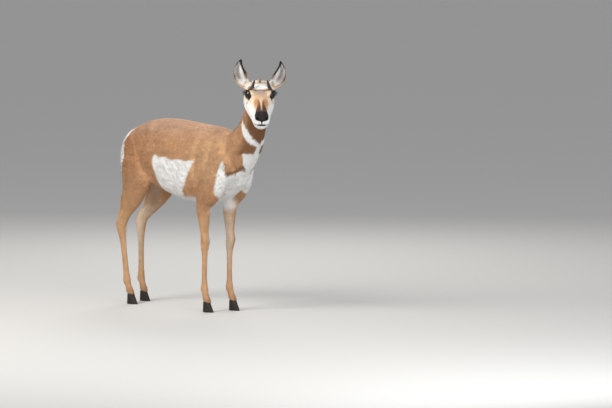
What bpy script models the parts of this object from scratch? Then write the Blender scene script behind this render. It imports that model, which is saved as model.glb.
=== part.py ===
"""A life-size pronghorn doe that stands alert with her head turned to her right.

The body is modelled whole: ovals are lofted along the trunk, the neck, the head and each leg, the lofts are
fused into one skin, and thin cuts then part that skin into the pieces a person would name. Metres, +Z up.
+X runs from the rump to the chest, +Y to the animal's left, and the hooves stand on z = 0.
"""

import math

import bmesh
import bpy
import numpy as np
from mathutils import Matrix, Vector
from mathutils.bvhtree import BVHTree

# Driving dimensions of the animal
WITHERS_HEIGHT = 0.880
RUMP_HEIGHT = 0.900
TRUNK_REAR = -0.405
TRUNK_FRONT = 0.400
BARREL_HALF_WIDTH = 0.147
HEAD_TURN = math.radians(-40.6)
HEAD_DROP = math.radians(35.0)
HEAD_ROLL = math.radians(1.5)
HEAD_PLACE = Vector((0.514, -0.027, 1.080))
EYE_RADIUS = 0.0232
HORN_LENGTH = 0.047
HORN_SEAT = 0.36
HOOF_LENGTH = 0.060
HOOF_HALF_WIDTH = 0.0205
CORONET_HEIGHT = 0.046

# How finely the skin is made, how far it is smoothed, and the gap that parts two pieces
SKIN_VOXEL = 0.0036
BLEND_STEPS = 70
HEAD_BLEND = 0.2
HOOF_BLEND = 0.12
HEAD_FACES = 3100
TRUNK_FACES = 2400
LEG_FACES = 3000
CUT = 0.0003
RING_POINTS = 36
RING_STEP = 0.008

# The head's own frame: u runs from the poll to the nose, v to the left and w up from the face
HEADING = Vector((math.cos(HEAD_TURN), math.sin(HEAD_TURN), 0.0))
FACE = HEADING * math.cos(HEAD_DROP) - Vector((0, 0, math.sin(HEAD_DROP)))
LEVEL = Vector((-HEADING.y, HEADING.x, 0.0))
LEFT = LEVEL * math.cos(HEAD_ROLL) - FACE.cross(LEVEL) * math.sin(HEAD_ROLL)
CROWN = FACE.cross(LEFT)
HEAD_FRAME = Matrix.Translation(HEAD_PLACE) @ Matrix((FACE, LEFT, CROWN)).transposed().to_4x4()

SIDES = {"left": 1, "right": -1}

# How far each leg is carried forward or back
STRIDES = {("foreleg", "left"): 0.012, ("foreleg", "right"): -0.016, ("hindleg", "left"): -0.030,
           ("hindleg", "right"): 0.030}

# The middle of the forefoot and hindfoot, before the stride
FEET = {"foreleg": (0.238, 0.072), "hindleg": (-0.333, 0.070)}

# Levels and planes at which the skin is parted
HEAD_CUT = Vector((0.430, 0.0, 1.035))
HEAD_CUT_NORMAL = Vector((0.563, -0.389, 0.729))
NECK_CUT = Vector((0.372, 0.0, 0.792))
NECK_CUT_NORMAL = Vector((0.42, 0.0, 0.91))
KNEE_LEVEL = 0.400
ELBOW_LEVEL = 0.486
STIFLE_LEVEL = 0.528
CORONET_SLOPE = Vector((0.34, 0.0, 1.0))
TAIL_CUT = Vector((-0.4045, 0.0, 0.75))


def in_head(u, v, w):
    """A point of the head's own frame, in the body's frame."""
    return HEAD_FRAME @ Vector((u, v, w))


def clear_scene():
    for old in list(bpy.data.objects):
        bpy.data.objects.remove(old, do_unlink=True)


def finish(name, colour, roughness):
    """The object's own material."""
    material = bpy.data.materials.new(name)
    material.use_nodes = True
    shader = material.node_tree.nodes["Principled BSDF"]
    shader.inputs["Base Color"].default_value = (*colour, 1.0)
    shader.inputs["Roughness"].default_value = roughness
    shader.inputs["Metallic"].default_value = 0.0
    return material


def new_object(name, bm):
    """Makes an object of a bmesh, its faces pointing out."""
    bmesh.ops.recalc_face_normals(bm, faces=bm.faces)
    mesh = bpy.data.meshes.new(name)
    bm.to_mesh(mesh)
    bm.free()
    obj = bpy.data.objects.new(name, mesh)
    bpy.context.scene.collection.objects.link(obj)
    return obj


def apply_modifiers(obj):
    """Keeps the object's evaluated shape as its mesh."""
    graph = bpy.context.evaluated_depsgraph_get()
    shape = bpy.data.meshes.new_from_object(obj.evaluated_get(graph))
    obj.modifiers.clear()
    obj.data = shape
    return obj


def through(stations, count):
    """Rows read at even steps from a smooth curve through the stations' rows."""
    rows = np.array(stations, float)
    steps = np.linalg.norm(np.diff(rows[:, :3], axis=0), axis=1)
    at = np.concatenate([[0.0], np.cumsum(steps)])
    slopes = np.gradient(rows, at, axis=0)
    places = np.linspace(0.0, at[-1], count)
    index = np.clip(np.searchsorted(at, places, side="right") - 1, 0, len(at) - 2)
    span = (at[index + 1] - at[index])[:, None]
    t = (places[:, None] - at[index][:, None]) / span
    a, b = rows[index], rows[index + 1]
    start, end = slopes[index] * span, slopes[index + 1] * span
    return (
        (2 * t**3 - 3 * t**2 + 1) * a
        + (t**3 - 2 * t**2 + t) * start
        + (3 * t**2 - 2 * t**3) * b
        + (t**3 - t**2) * end
    )


def oval(centre, across, up, half_width, over, under, round_over, round_under):
    """The points of one cross-section: half_width to each side, over and under its widest level."""
    turn = np.arange(RING_POINTS) * 2 * math.pi / RING_POINTS
    c, s = np.cos(turn), np.sin(turn)
    roundness = np.where(s >= 0, round_over, round_under)
    side = half_width * np.sign(c) * np.abs(c) ** (2 / roundness)
    rise = np.where(s >= 0, over, under) * np.sign(s) * np.abs(s) ** (2 / roundness)
    return np.array(centre) + np.outer(side, across) + np.outer(rise, up)


def loft(name, rings):
    """One closed body that runs through the rings."""
    bm = bmesh.new()
    start = bmesh.ops.create_circle(bm, cap_ends=True, segments=len(rings[0]), radius=1.0)["verts"]
    face = start[0].link_faces[0]
    for vert, point in zip(face.verts, rings[0]):
        vert.co = point
    for ring in rings[1:]:
        face = bmesh.ops.extrude_discrete_faces(bm, faces=[face])["faces"][0]
        for vert, point in zip(face.verts, ring):
            vert.co = point
    bmesh.ops.holes_fill(bm, edges=[edge for edge in bm.edges if edge.is_boundary])
    return new_object(name, bm)


def limb(name, stations, across):
    """A loft down a path. Each station is (x, y, z, half_width, front, back, round_front, round_back)."""
    rows = np.array(stations, float)
    length = np.linalg.norm(np.diff(rows[:, :3], axis=0), axis=1).sum()
    rows = through(rows, max(8, int(length / RING_STEP)))
    heading = np.gradient(rows[:, :3], axis=0)
    rings = []
    for row, way in zip(rows, heading):
        forward = np.cross(way, across)
        forward /= np.linalg.norm(forward)
        rings.append(oval(row[:3], across, forward, *row[3:]))
    return loft(name, rings)


def ellipsoid(name, centre, sizes, turn=None, divisions=4):
    """A rounded lump, its own axes turned by the matrix turn."""
    bm = bmesh.new()
    shape = Matrix.Translation(centre) @ (turn or Matrix()).to_3x3().to_4x4() @ Matrix.Diagonal((*sizes, 1))
    bmesh.ops.create_icosphere(bm, subdivisions=divisions, radius=1.0, matrix=shape)
    return new_object(name, bm)


def trunk():
    """The barrel, chest and croup. Each station is x, back, widest level, belly, half-width, roundnesses."""
    top, wide = RUMP_HEIGHT, BARREL_HALF_WIDTH
    stations = [
        (TRUNK_REAR, 0.765, 0.715, 0.665, 0.038, 2.2, 2.2),
        (-0.392, 0.795, 0.716, 0.640, 0.066, 2.2, 2.2),
        (-0.365, 0.826, 0.714, 0.618, 0.088, 2.2, 2.2),
        (-0.325, top - 0.050, 0.712, 0.600, 0.103, 2.2, 2.2),
        (-0.270, top - 0.028, 0.712, 0.588, 0.114, 2.2, 2.2),
        (-0.215, top - 0.011, 0.712, 0.576, 0.121, 2.2, 2.2),
        (-0.160, top - 0.002, 0.706, 0.562, 0.127, 2.2, 2.2),
        (-0.085, top, 0.694, 0.540, wide - 0.009, 2.2, 2.2),
        (0.000, top - 0.004, 0.682, 0.518, wide - 0.001, 2.15, 2.2),
        (0.080, top - 0.011, 0.676, 0.506, wide, 2.0, 2.1),
        (0.150, WITHERS_HEIGHT + 0.004, 0.675, 0.502, wide - 0.008, 1.9, 2.0),
        (0.215, WITHERS_HEIGHT, 0.678, 0.506, wide - 0.024, 1.8, 1.9),
        (0.270, WITHERS_HEIGHT - 0.008, 0.682, 0.526, wide - 0.039, 1.8, 1.9),
        (0.320, 0.852, 0.686, 0.558, 0.094, 1.9, 2.0),
        (0.365, 0.815, 0.692, 0.602, 0.076, 2.0, 2.0),
        (TRUNK_FRONT, 0.765, 0.698, 0.648, 0.046, 2.0, 2.0),
    ]
    rows = [(x, 0, 0, up, mid, low, width, a, b) for x, up, mid, low, width, a, b in stations]
    rows = through(rows, int((TRUNK_FRONT - TRUNK_REAR) / RING_STEP))
    rings = [
        oval((x, 0, mid), (0, 1, 0), (0, 0, 1), width, up - mid, mid - low, a, b)
        for x, _, _, up, mid, low, width, a, b in rows
    ]
    return loft("trunk", rings)


# The neck from inside the shoulders to the back of the skull: x, y, z, half-width, throat, nape, roundnesses
NECK_STATIONS = [
    (0.282, 0.000, 0.690, 0.086, 0.118, 0.118, 2.0, 1.9),
    (0.367, 0.000, 0.760, 0.080, 0.114, 0.102, 2.0, 1.8),
    (0.425, -0.001, 0.825, 0.069, 0.093, 0.083, 2.0, 1.8),
    (0.456, -0.003, 0.892, 0.060, 0.077, 0.069, 2.0, 1.8),
    (0.474, -0.008, 0.955, 0.053, 0.061, 0.061, 2.0, 1.9),
    (0.486, -0.015, 1.005, 0.049, 0.053, 0.055, 2.0, 2.0),
    (0.500, -0.022, 1.042, 0.043, 0.044, 0.046, 2.0, 2.0),
]


def neck():
    return limb("neck", NECK_STATIONS, (0, 1, 0))


def foreleg(side, stride):
    """From the shoulder blade to the coronet. Stations are x, y, z, half-width, front, back, roundnesses."""
    stations = [
        (0.262, 0.050, 0.815, 0.022, 0.032, 0.034, 2.0, 2.0),
        (0.276, 0.070, 0.760, 0.032, 0.052, 0.056, 2.0, 2.0),
        (0.288, 0.083, 0.700, 0.036, 0.068, 0.078, 2.0, 2.0),
        (0.278, 0.090, 0.640, 0.037, 0.074, 0.088, 2.0, 2.0),
        (0.244, 0.092, 0.580, 0.037, 0.068, 0.078, 2.0, 2.0),
        (0.211, 0.089, 0.525, 0.034, 0.051, 0.060, 2.0, 1.8),
        (0.201, 0.084, 0.475, 0.0300, 0.0385, 0.0410, 2.0, 1.8),
        (0.203, 0.080, 0.425, 0.0250, 0.0305, 0.0305, 2.0, 1.8),
        (0.207, 0.078, 0.372, 0.0200, 0.0235, 0.0220, 2.0, 1.9),
        (0.209, 0.077, 0.338, 0.0200, 0.0235, 0.0200, 2.3, 2.2),
        (0.207, 0.076, 0.310, 0.0178, 0.0195, 0.0193, 2.2, 2.1),
        (0.205, 0.075, 0.268, 0.0138, 0.0145, 0.0160, 2.0, 2.0),
        (0.204, 0.074, 0.205, 0.0125, 0.0130, 0.0152, 2.0, 2.0),
        (0.204, 0.073, 0.142, 0.0130, 0.0135, 0.0165, 2.0, 2.0),
        (0.205, 0.072, 0.108, 0.0165, 0.0170, 0.0205, 2.2, 2.0),
        (0.213, 0.072, 0.080, 0.0152, 0.0150, 0.0165, 2.2, 2.0),
        (0.221, 0.072, 0.058, 0.0190, 0.0180, 0.0190, 2.3, 2.1),
        (0.226, 0.072, 0.036, 0.0200, 0.0200, 0.0210, 2.4, 2.2),
    ]
    return limb("foreleg", strided(stations, side, stride), (0, side, 0))


def hindleg(side, stride):
    """From the hip to the coronet."""
    stations = [
        (-0.262, 0.050, 0.835, 0.028, 0.052, 0.048, 2.0, 2.0),
        (-0.266, 0.070, 0.785, 0.040, 0.086, 0.078, 2.0, 2.0),
        (-0.266, 0.080, 0.720, 0.045, 0.108, 0.094, 2.0, 2.0),
        (-0.262, 0.086, 0.655, 0.046, 0.112, 0.100, 2.0, 2.0),
        (-0.264, 0.089, 0.595, 0.043, 0.096, 0.094, 2.0, 1.9),
        (-0.286, 0.087, 0.535, 0.037, 0.074, 0.076, 2.0, 1.8),
        (-0.322, 0.085, 0.482, 0.031, 0.054, 0.056, 2.0, 1.7),
        (-0.352, 0.080, 0.438, 0.0250, 0.0370, 0.0380, 2.0, 1.7),
        (-0.377, 0.077, 0.402, 0.0215, 0.0270, 0.0350, 2.0, 1.8),
        (-0.387, 0.075, 0.370, 0.0215, 0.0245, 0.0300, 2.2, 1.9),
        (-0.386, 0.074, 0.335, 0.0180, 0.0195, 0.0230, 2.1, 1.9),
        (-0.382, 0.073, 0.290, 0.0145, 0.0155, 0.0180, 2.0, 1.9),
        (-0.377, 0.072, 0.220, 0.0130, 0.0142, 0.0165, 2.0, 1.9),
        (-0.372, 0.071, 0.152, 0.0135, 0.0145, 0.0178, 2.0, 2.0),
        (-0.369, 0.070, 0.114, 0.0165, 0.0175, 0.0210, 2.2, 2.0),
        (-0.360, 0.070, 0.084, 0.0150, 0.0148, 0.0165, 2.2, 2.0),
        (-0.351, 0.070, 0.060, 0.0185, 0.0178, 0.0190, 2.3, 2.1),
        (-0.345, 0.070, 0.036, 0.0195, 0.0198, 0.0208, 2.4, 2.2),
    ]
    return limb("hindleg", strided(stations, side, stride), (0, side, 0))


def strided(stations, side, stride):
    """The stations on one side of the body, the lower leg carried along X by the stride."""
    top = stations[0][2]
    placed = []
    for x, y, z, *rest in stations:
        share = max(0.0, (top - z) / top - 0.3) / 0.7
        placed.append((x + stride * share, y * side, z, *rest))
    return placed


def skull():
    """The head. Each station is u, face, widest level, jaw, half-width, roundness above, roundness below."""
    stations = [
        (-0.042, 0.001, -0.018, -0.036, 0.0260, 2.0, 2.0),
        (-0.030, 0.015, -0.024, -0.060, 0.0460, 2.1, 2.1),
        (-0.008, 0.027, -0.032, -0.082, 0.0600, 2.2, 2.3),
        (0.018, 0.033, -0.040, -0.097, 0.0680, 2.0, 2.4),
        (0.045, 0.035, -0.044, -0.103, 0.0705, 2.0, 2.4),
        (0.072, 0.034, -0.046, -0.104, 0.0700, 1.9, 2.4),
        (0.098, 0.030, -0.046, -0.102, 0.0665, 1.9, 2.3),
        (0.124, 0.0250, -0.044, -0.098, 0.0610, 1.9, 2.2),
        (0.150, 0.0205, -0.041, -0.093, 0.0545, 1.9, 2.1),
        (0.176, 0.0165, -0.037, -0.088, 0.0480, 2.0, 2.1),
        (0.200, 0.0130, -0.033, -0.084, 0.0420, 2.2, 2.1),
        (0.220, 0.0090, -0.030, -0.080, 0.0380, 2.3, 2.2),
        (0.236, 0.0025, -0.028, -0.071, 0.0330, 2.3, 2.2),
        (0.247, -0.0080, -0.029, -0.055, 0.0210, 2.2, 2.1),
    ]
    rows = [(u, 0, 0, up, mid, low, width, a, b) for u, up, mid, low, width, a, b in stations]
    rows = through(rows, 46)
    across, rise = np.array(LEFT), np.array(CROWN)
    rings = [
        oval(in_head(u, 0, mid), across, rise, width, up - mid, mid - low, a, b)
        for u, _, _, up, mid, low, width, a, b in rows
    ]
    return loft("skull", rings)


MOUTH_LEVEL = -0.0365
MOUTH_MIDDLE = 0.198
MOUTH_REACH = math.radians(118)
MOUTH_DROP = 0.006
MOUTH_STEPS = 20
EYE_PLACE = (0.077, 0.0465, 0.010)
EYE_LOOK = (0.62, 0.76, 0.16)
EYE_OPEN_LENGTH = 0.0400
LID_THICKNESS = 0.0026
EYE_OPEN_UP = 0.0155
EYE_OPEN_DOWN = 0.0126


def head_lumps(side):
    """The rim of bone round the eye, the brow over it, the mound the ear stands on and the nostril's pad."""
    eye_u, eye_v, eye_w = EYE_PLACE
    lumps = [
        ((eye_u - 0.001, (eye_v - 0.0015) * side, eye_w - 0.001), (0.0315, 0.0285, 0.0280)),
        ((eye_u - 0.004, (eye_v - 0.0095) * side, eye_w - 0.006), (0.0520, 0.0300, 0.0265)),
        ((eye_u - 0.016, 0.0400 * side, eye_w + 0.012), (0.028, 0.017, 0.015)),
        ((0.004, 0.0430 * side, -0.008), (0.028, 0.018, 0.020)),
        ((0.224, 0.0190 * side, -0.012), (0.019, 0.0160, 0.016)),
    ]
    turn = HEAD_FRAME.to_3x3().to_4x4()
    return [ellipsoid("lump", in_head(*place), sizes, turn) for place, sizes in lumps]


def tail():
    """A short tail that hangs close against the rump."""
    stations = [
        (-0.365, 0.0, 0.800, 0.021, 0.018, 0.018, 2.0, 2.0),
        (-0.392, 0.0, 0.794, 0.021, 0.016, 0.016, 2.0, 2.0),
        (-0.412, 0.0, 0.778, 0.0205, 0.014, 0.014, 2.0, 2.0),
        (-0.422, 0.0, 0.752, 0.0190, 0.012, 0.013, 2.0, 2.0),
        (-0.425, 0.0, 0.722, 0.0145, 0.009, 0.010, 2.0, 2.0),
        (-0.424, 0.0, 0.698, 0.0070, 0.005, 0.006, 2.0, 2.0),
    ]
    return limb("tail", stations, (0, 1, 0))


def fused(objects, name, voxel):
    """Joins closed bodies and wraps them in one skin."""
    joined = bmesh.new()
    for obj in objects:
        joined.from_mesh(obj.data)
    skin = new_object(name, joined)
    for obj in objects:
        bpy.data.objects.remove(obj, do_unlink=True)
    wrap = skin.modifiers.new("Wrap", "REMESH")
    wrap.mode = "VOXEL"
    wrap.voxel_size = voxel
    wrap.use_smooth_shade = True
    return apply_modifiers(skin)


def weigh(obj, name, rule):
    """A vertex group whose weights a rule gives from each point."""
    group = obj.vertex_groups.new(name=name)
    for vert in obj.data.vertices:
        group.add([vert.index], rule(vert.co), "REPLACE")
    return group.name


def smoothing(point):
    """The trunk is smoothed most, then the legs and the head."""
    if in_the_head(point):
        return HEAD_BLEND
    return min(1.0, max(HOOF_BLEND, (point.z - KNEE_LEVEL) / (STIFLE_LEVEL + CUT - KNEE_LEVEL)))


def in_the_head(point):
    return 1.0 if (point - HEAD_CUT).dot(HEAD_CUT_NORMAL) > -0.01 else 0.0


def in_a_leg(point):
    return 1.0 if point.z < ELBOW_LEVEL else 0.0


def in_the_rest(point):
    return 1.0 - max(in_the_head(point), in_a_leg(point))


def thin(skin, rule, faces):
    """Brings one region of the skin down to a number of faces."""
    group = weigh(skin, "Region", rule)
    triangles = sum(len(face.vertices) - 2 for face in skin.data.polygons)
    within = sum(len(face.vertices) - 2 for face in skin.data.polygons if rule(face.center) > 0.5)
    thinner = skin.modifiers.new("Thin", "DECIMATE")
    thinner.ratio = (triangles - within + faces) / triangles
    thinner.vertex_group = group
    thinner.use_symmetry = False
    apply_modifiers(skin)
    skin.vertex_groups.clear()


def smooth_and_thin(skin):
    """Blends the lofts into each other and brings the skin down to its face counts."""
    group = weigh(skin, "Smoothing", smoothing)
    blend = skin.modifiers.new("Blend", "SMOOTH")
    blend.factor = 0.5
    blend.iterations = BLEND_STEPS
    blend.vertex_group = group
    apply_modifiers(skin)
    skin.vertex_groups.clear()
    thin(skin, in_the_rest, TRUNK_FACES)
    thin(skin, in_a_leg, LEG_FACES)
    thin(skin, in_the_head, HEAD_FACES)


def combine(obj, others, operation, solver="EXACT"):
    """One Boolean of an object with a collection of others, which are then removed."""
    group = bpy.data.collections.new("Operands")
    bpy.context.scene.collection.children.link(group)
    for other in others:
        group.objects.link(other)
    boolean = obj.modifiers.new("Combine", "BOOLEAN")
    boolean.operand_type = "COLLECTION"
    boolean.collection = group
    boolean.operation = operation
    boolean.solver = solver
    apply_modifiers(obj)
    for other in others:
        bpy.data.objects.remove(other, do_unlink=True)
    bpy.data.collections.remove(group)


def cut_by_plane(obj, point, normal, name):
    """Takes away what lies beyond a plane, half the cut's width short of it, and closes the end."""
    bm = bmesh.new()
    bm.from_mesh(obj.data)
    normal = Vector(normal).normalized()
    place = Vector(point) - normal * CUT / 2
    geometry = bm.verts[:] + bm.edges[:] + bm.faces[:]
    cut = bmesh.ops.bisect_plane(bm, geom=geometry, plane_co=place, plane_no=normal, clear_outer=True)
    edges = [item for item in cut["geom_cut"] if isinstance(item, bmesh.types.BMEdge)]
    bmesh.ops.holes_fill(bm, edges=edges)
    bmesh.ops.triangulate(bm, faces=[face for face in bm.faces if len(face.verts) > 4])
    return new_object(name, bm)


def parted(obj, point, normal, near, far):
    """The two bodies that a plane parts an object into, the far one on the normal's side."""
    normal = Vector(normal)
    pieces = cut_by_plane(obj, point, normal, near), cut_by_plane(obj, point, -normal, far)
    bpy.data.objects.remove(obj, do_unlink=True)
    return pieces


# The ear's centre line: up, out, forward, half-width, half-angle of the cup in degrees and thickness share
EAR_ROOT = (0.004, 0.010)
EAR_STATIONS = [
    (-0.016, 0.030, -0.002, 0.0160, 110, 0.92),
    (-0.008, 0.050, 0.000, 0.0210, 115, 0.70),
    (0.006, 0.071, 0.002, 0.0265, 112, 0.26),
    (0.026, 0.0845, 0.001, 0.0310, 98, 0.12),
    (0.049, 0.0940, -0.002, 0.0300, 84, 0.11),
    (0.071, 0.0975, -0.004, 0.0240, 72, 0.13),
    (0.091, 0.0955, -0.004, 0.0155, 60, 0.18),
    (0.106, 0.0910, -0.003, 0.0082, 52, 0.30),
    (0.115, 0.0870, -0.002, 0.0030, 50, 0.80),
]
EAR_SEAT = (-0.12, 0.80, 0.60)
EAR_SEAT_DEPTH = 0.0560
EAR_UP = Vector((-0.700, 0.0, 0.714))
EAR_FORWARD = Vector((0.714, 0.0, 0.700))
EAR_LEANS = {1: math.radians(7.5), -1: math.radians(-3.0)}
EAR_HINGE = Vector((0.0, 0.050, 0.010))


def ear_lean(side):
    """The turn that lays an ear further out to its side, about its root."""
    hinge = Vector((EAR_HINGE.x, EAR_HINGE.y * side, EAR_HINGE.z))
    turn = Matrix.Rotation(-EAR_LEANS[side] * side, 4, "X")
    return Matrix.Translation(hinge) @ turn @ Matrix.Translation(-hinge)


def ear_point(side, up, out, forward):
    root_u, root_w = EAR_ROOT
    place = Vector((root_u, out * side, root_w)) + EAR_UP * up + EAR_FORWARD * forward
    return HEAD_FRAME @ ear_lean(side) @ place


def ear(side):
    """A leaf-shaped cup, open to the front, with its root sunk in the skull."""
    rows = through([(up, out, ahead, half, math.radians(turn), share) for up, out, ahead, half, turn, share
                    in EAR_STATIONS], 15)
    line = np.array([ear_point(side, *row[:3]) for row in rows])
    ways = np.gradient(line, axis=0)
    open_way = HEAD_FRAME.to_3x3() @ (EAR_FORWARD + Vector((0, 0.30 * side, 0))).normalized()
    rings = []
    for row, place, way in zip(rows, line, ways):
        _, _, _, half, reach, share = row
        way = Vector(way).normalized()
        across = way.cross(open_way).normalized()
        front = across.cross(way).normalized()
        radius = half / math.sin(min(reach, math.pi / 2))
        inner = radius * (1 - share)
        turns = np.linspace(-reach, reach, 10)
        outside = [(radius * math.sin(t), -radius * math.cos(t)) for t in turns]
        inside = [(inner * math.sin(t) * 0.985, -inner * math.cos(t)) for t in turns[::-1]]
        level = radius * math.cos(reach)
        rings.append([Vector(place) + across * x + front * (y + level) for x, y in outside + inside])
    return loft("ear", rings)


def ear_seat(side):
    """The middle and the normal of the plane that parts an ear from the head."""
    normal = Vector((EAR_SEAT[0], EAR_SEAT[1] * side, EAR_SEAT[2])).normalized()
    root = Vector((0.004, 0.066 * side, 0.008))
    root += normal * (EAR_SEAT_DEPTH - root.dot(normal))
    return HEAD_FRAME @ root, HEAD_FRAME.to_3x3() @ normal


def horn(side):
    """A short blunt spike on a bony root over the eye. Returns the body and the plane that parts it."""
    base = in_head(0.063, 0.0425 * side + 0.0030, 0.0265)
    tip = base + HEAD_FRAME.to_3x3() @ Vector((-0.0300, -0.0140 * side, 0.0390)).normalized() * HORN_LENGTH
    way = (tip - base).normalized()
    across = way.orthogonal().normalized()
    other = way.cross(across)
    profile = [(-0.30, 0.0095), (-0.1, 0.0098), (0.06, 0.0098), (0.14, 0.0088), (0.34, 0.0076), (0.56, 0.0062),
               (0.78, 0.0047), (0.93, 0.0032), (1.0, 0.0016)]
    rings = []
    for share, radius in profile:
        centre = base.lerp(tip, share)
        turns = np.arange(16) * 2 * math.pi / 16
        rings.append([centre + across * math.cos(t) * radius + other * math.sin(t) * radius for t in turns])
    seat = HEAD_FRAME.to_3x3() @ Vector((-0.35, 0.16 * side, 0.92))
    return loft("horn", rings), base.lerp(tip, HORN_SEAT), seat


def eyeball(side, radius, divisions, name):
    u, v, w = EYE_PLACE
    return ellipsoid(name, in_head(u, v * side, w), (radius,) * 3, divisions=divisions)


def eye_axes(side):
    """The eye's centre, the way it looks, its level and its rise."""
    u, v, w = EYE_PLACE
    turn = HEAD_FRAME.to_3x3()
    look = (turn @ Vector((EYE_LOOK[0], EYE_LOOK[1] * side, EYE_LOOK[2]))).normalized()
    level = (turn @ Vector((1.0, 0.0, -0.30))).normalized()
    rise = (look.cross(level) * side).normalized()
    level = (rise.cross(look) * side).normalized()
    return in_head(u, v * side, w), look, level, rise


def almond(count):
    """The outline between the lids as (along, up) from the eye's middle."""
    outline = []
    for step in range(count):
        t = step * 2 * math.pi / count
        height = EYE_OPEN_UP if math.sin(t) > 0 else EYE_OPEN_DOWN
        along = EYE_OPEN_LENGTH / 2 * math.copysign(abs(math.cos(t)) ** 1.12, math.cos(t))
        outline.append((along, height * math.sin(t)))
    return outline


def eye_opening(side):
    """The cutter of the almond between the lids, its front corner the lower."""
    centre, look, level, rise = eye_axes(side)
    rings = []
    for depth, spread in ((0.006, 0.75), (0.034, 1.35)):
        rings.append([centre + level * a * spread + rise * b * spread + look * depth for a, b in almond(20)])
    return loft("opening", rings)


def lids(side):
    """The two lids, a shell over the front of the eyeball that the opening parts."""
    return eyeball(side, EYE_RADIUS + LID_THICKNESS, 3, "lids")


def nostril(side):
    """A slanting comma cut into the muzzle's side."""
    turn = HEAD_FRAME.to_3x3() @ Matrix.Rotation(0.65 * side, 3, "Z") @ Matrix.Rotation(0.5, 3, "Y")
    return ellipsoid("nostril", in_head(0.2375, 0.0205 * side, -0.0055), (0.0105, 0.0045, 0.0060), turn, 2)


def along_mouth(name, tree, level, reach, thickness, depth):
    """A tapered tube that follows the muzzle's surface round the front, between the corners of the mouth."""
    turn = HEAD_FRAME.to_3x3()
    up = turn @ Vector((0, 0, 1))
    rings = []
    for step in range(MOUTH_STEPS + 1):
        share = step / MOUTH_STEPS * 2 - 1
        bend = share * reach
        start = in_head(MOUTH_MIDDLE, 0, level - MOUTH_DROP * share**2)
        out = turn @ Vector((math.cos(bend), math.sin(bend), 0))
        place = tree.ray_cast(start + out * 0.15, -out)[0]
        size = math.sqrt(1.04 - share**2)
        ring = []
        for k in range(6):
            t = k * math.pi / 3
            ring.append(place + (out * math.cos(t) * depth + up * math.sin(t) * thickness) * size)
        rings.append(ring)
    return loft(name, rings)


def tree_of(obj):
    """The object's surface, for casting rays at."""
    bm = bmesh.new()
    bm.from_mesh(obj.data)
    tree = BVHTree.FromBMesh(bm)
    bm.free()
    return tree


# The mane's rows
MANE_START = 0.012
MANE_SPACING = 0.0145
MANE_CROWN_ROWS = 4
MANE_NAPE_ROWS = 13
MANE_COLUMN = 0.0105
MANE_CLEAR = 0.004


def nape_line(tree, count):
    """Places down the middle of the crown and nape, each with the surface's normal and the lie of the hair."""
    places = []
    turn = HEAD_FRAME.to_3x3()
    for step in range(MANE_CROWN_ROWS):
        u = MANE_START - step * MANE_SPACING
        hit, normal, _, _ = tree.ray_cast(in_head(u, 0, 0.12), turn @ Vector((0, 0, -1)))
        back = turn @ Vector((-1, 0, 0))
        places.append((hit, normal, (back - normal * back.dot(normal)).normalized()))
    rows = through(NECK_STATIONS, 60)[:, :3]
    ways = np.gradient(rows, axis=0)
    for step in range(count):
        index = 52 - int(step * 31 / count)
        down = -Vector(ways[index]).normalized()
        back = down.cross(Vector((0, 1, 0))).normalized()
        if back.x > 0:
            back = -back
        start = Vector(rows[index])
        hit, normal, _, _ = tree.ray_cast(start + back * 0.2, -back)
        places.append((hit, normal, down))
    return places


def lock(root, normal, lie, length, width, lift):
    """A flat tapered lock of hair, its root sunk and its tip bent back to the coat."""
    across = normal.cross(lie).normalized()
    rings = []
    for share, half, out in ((-0.16, 0.85, -0.20), (0.10, 1.0, 0.10), (0.45, 0.88, 0.52), (0.78, 0.55, 0.80),
                             (1.0, 0.14, 0.86)):
        centre = root + lie * length * share + normal * lift * out
        flat = half * width
        thick = max(0.0007, 0.30 * width * half)
        rings.append([centre + across * flat, centre + normal * thick, centre - across * flat,
                      centre - normal * thick])
    return loft("lock", rings)


def mane(tree):
    """Short locks in overlapping rows from between the ears down the nape."""
    random = np.random.default_rng(7)
    locks = []
    for row, (place, normal, lie) in enumerate(nape_line(tree, MANE_NAPE_ROWS)):
        across = normal.cross(lie).normalized()
        crown = row < MANE_CROWN_ROWS
        for column in (-1, 0, 1):
            offset = across * (column * MANE_COLUMN + random.uniform(-0.002, 0.002) + (row % 2 - 0.5) * 0.005)
            root = place + offset + lie * random.uniform(-0.004, 0.004)
            way = (lie + across * (0.22 * column + random.uniform(-0.12, 0.12))).normalized()
            length = random.uniform(0.024, 0.032) if crown else random.uniform(0.042, 0.058)
            lift = random.uniform(0.004, 0.007) if crown else random.uniform(0.008, 0.012)
            root -= normal * (0.0030 + 0.003 * abs(column))
            ends = [(root - way * 0.16 * length - HEAD_CUT).dot(HEAD_CUT_NORMAL),
                    (root + way * length + normal * lift - HEAD_CUT).dot(HEAD_CUT_NORMAL)]
            if min(ends) < MANE_CLEAR and max(ends) > -MANE_CLEAR:
                continue
            locks.append(lock(root, normal, way, length, random.uniform(0.0065, 0.0085), lift))
    return locks


def slab(centre, normal, across, size, name="slab"):
    """A thin box that parts two pieces."""
    normal = Vector(normal).normalized()
    across = Vector(across)
    across = (across - normal * across.dot(normal)).normalized()
    third = normal.cross(across)
    frame = Matrix.Translation(centre) @ Matrix((across, third, normal)).transposed().to_4x4()
    bm = bmesh.new()
    bmesh.ops.create_cube(bm, size=1.0, matrix=frame @ Matrix.Diagonal((size[0], size[1], CUT, 1)))
    return new_object(name, bm)


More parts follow.
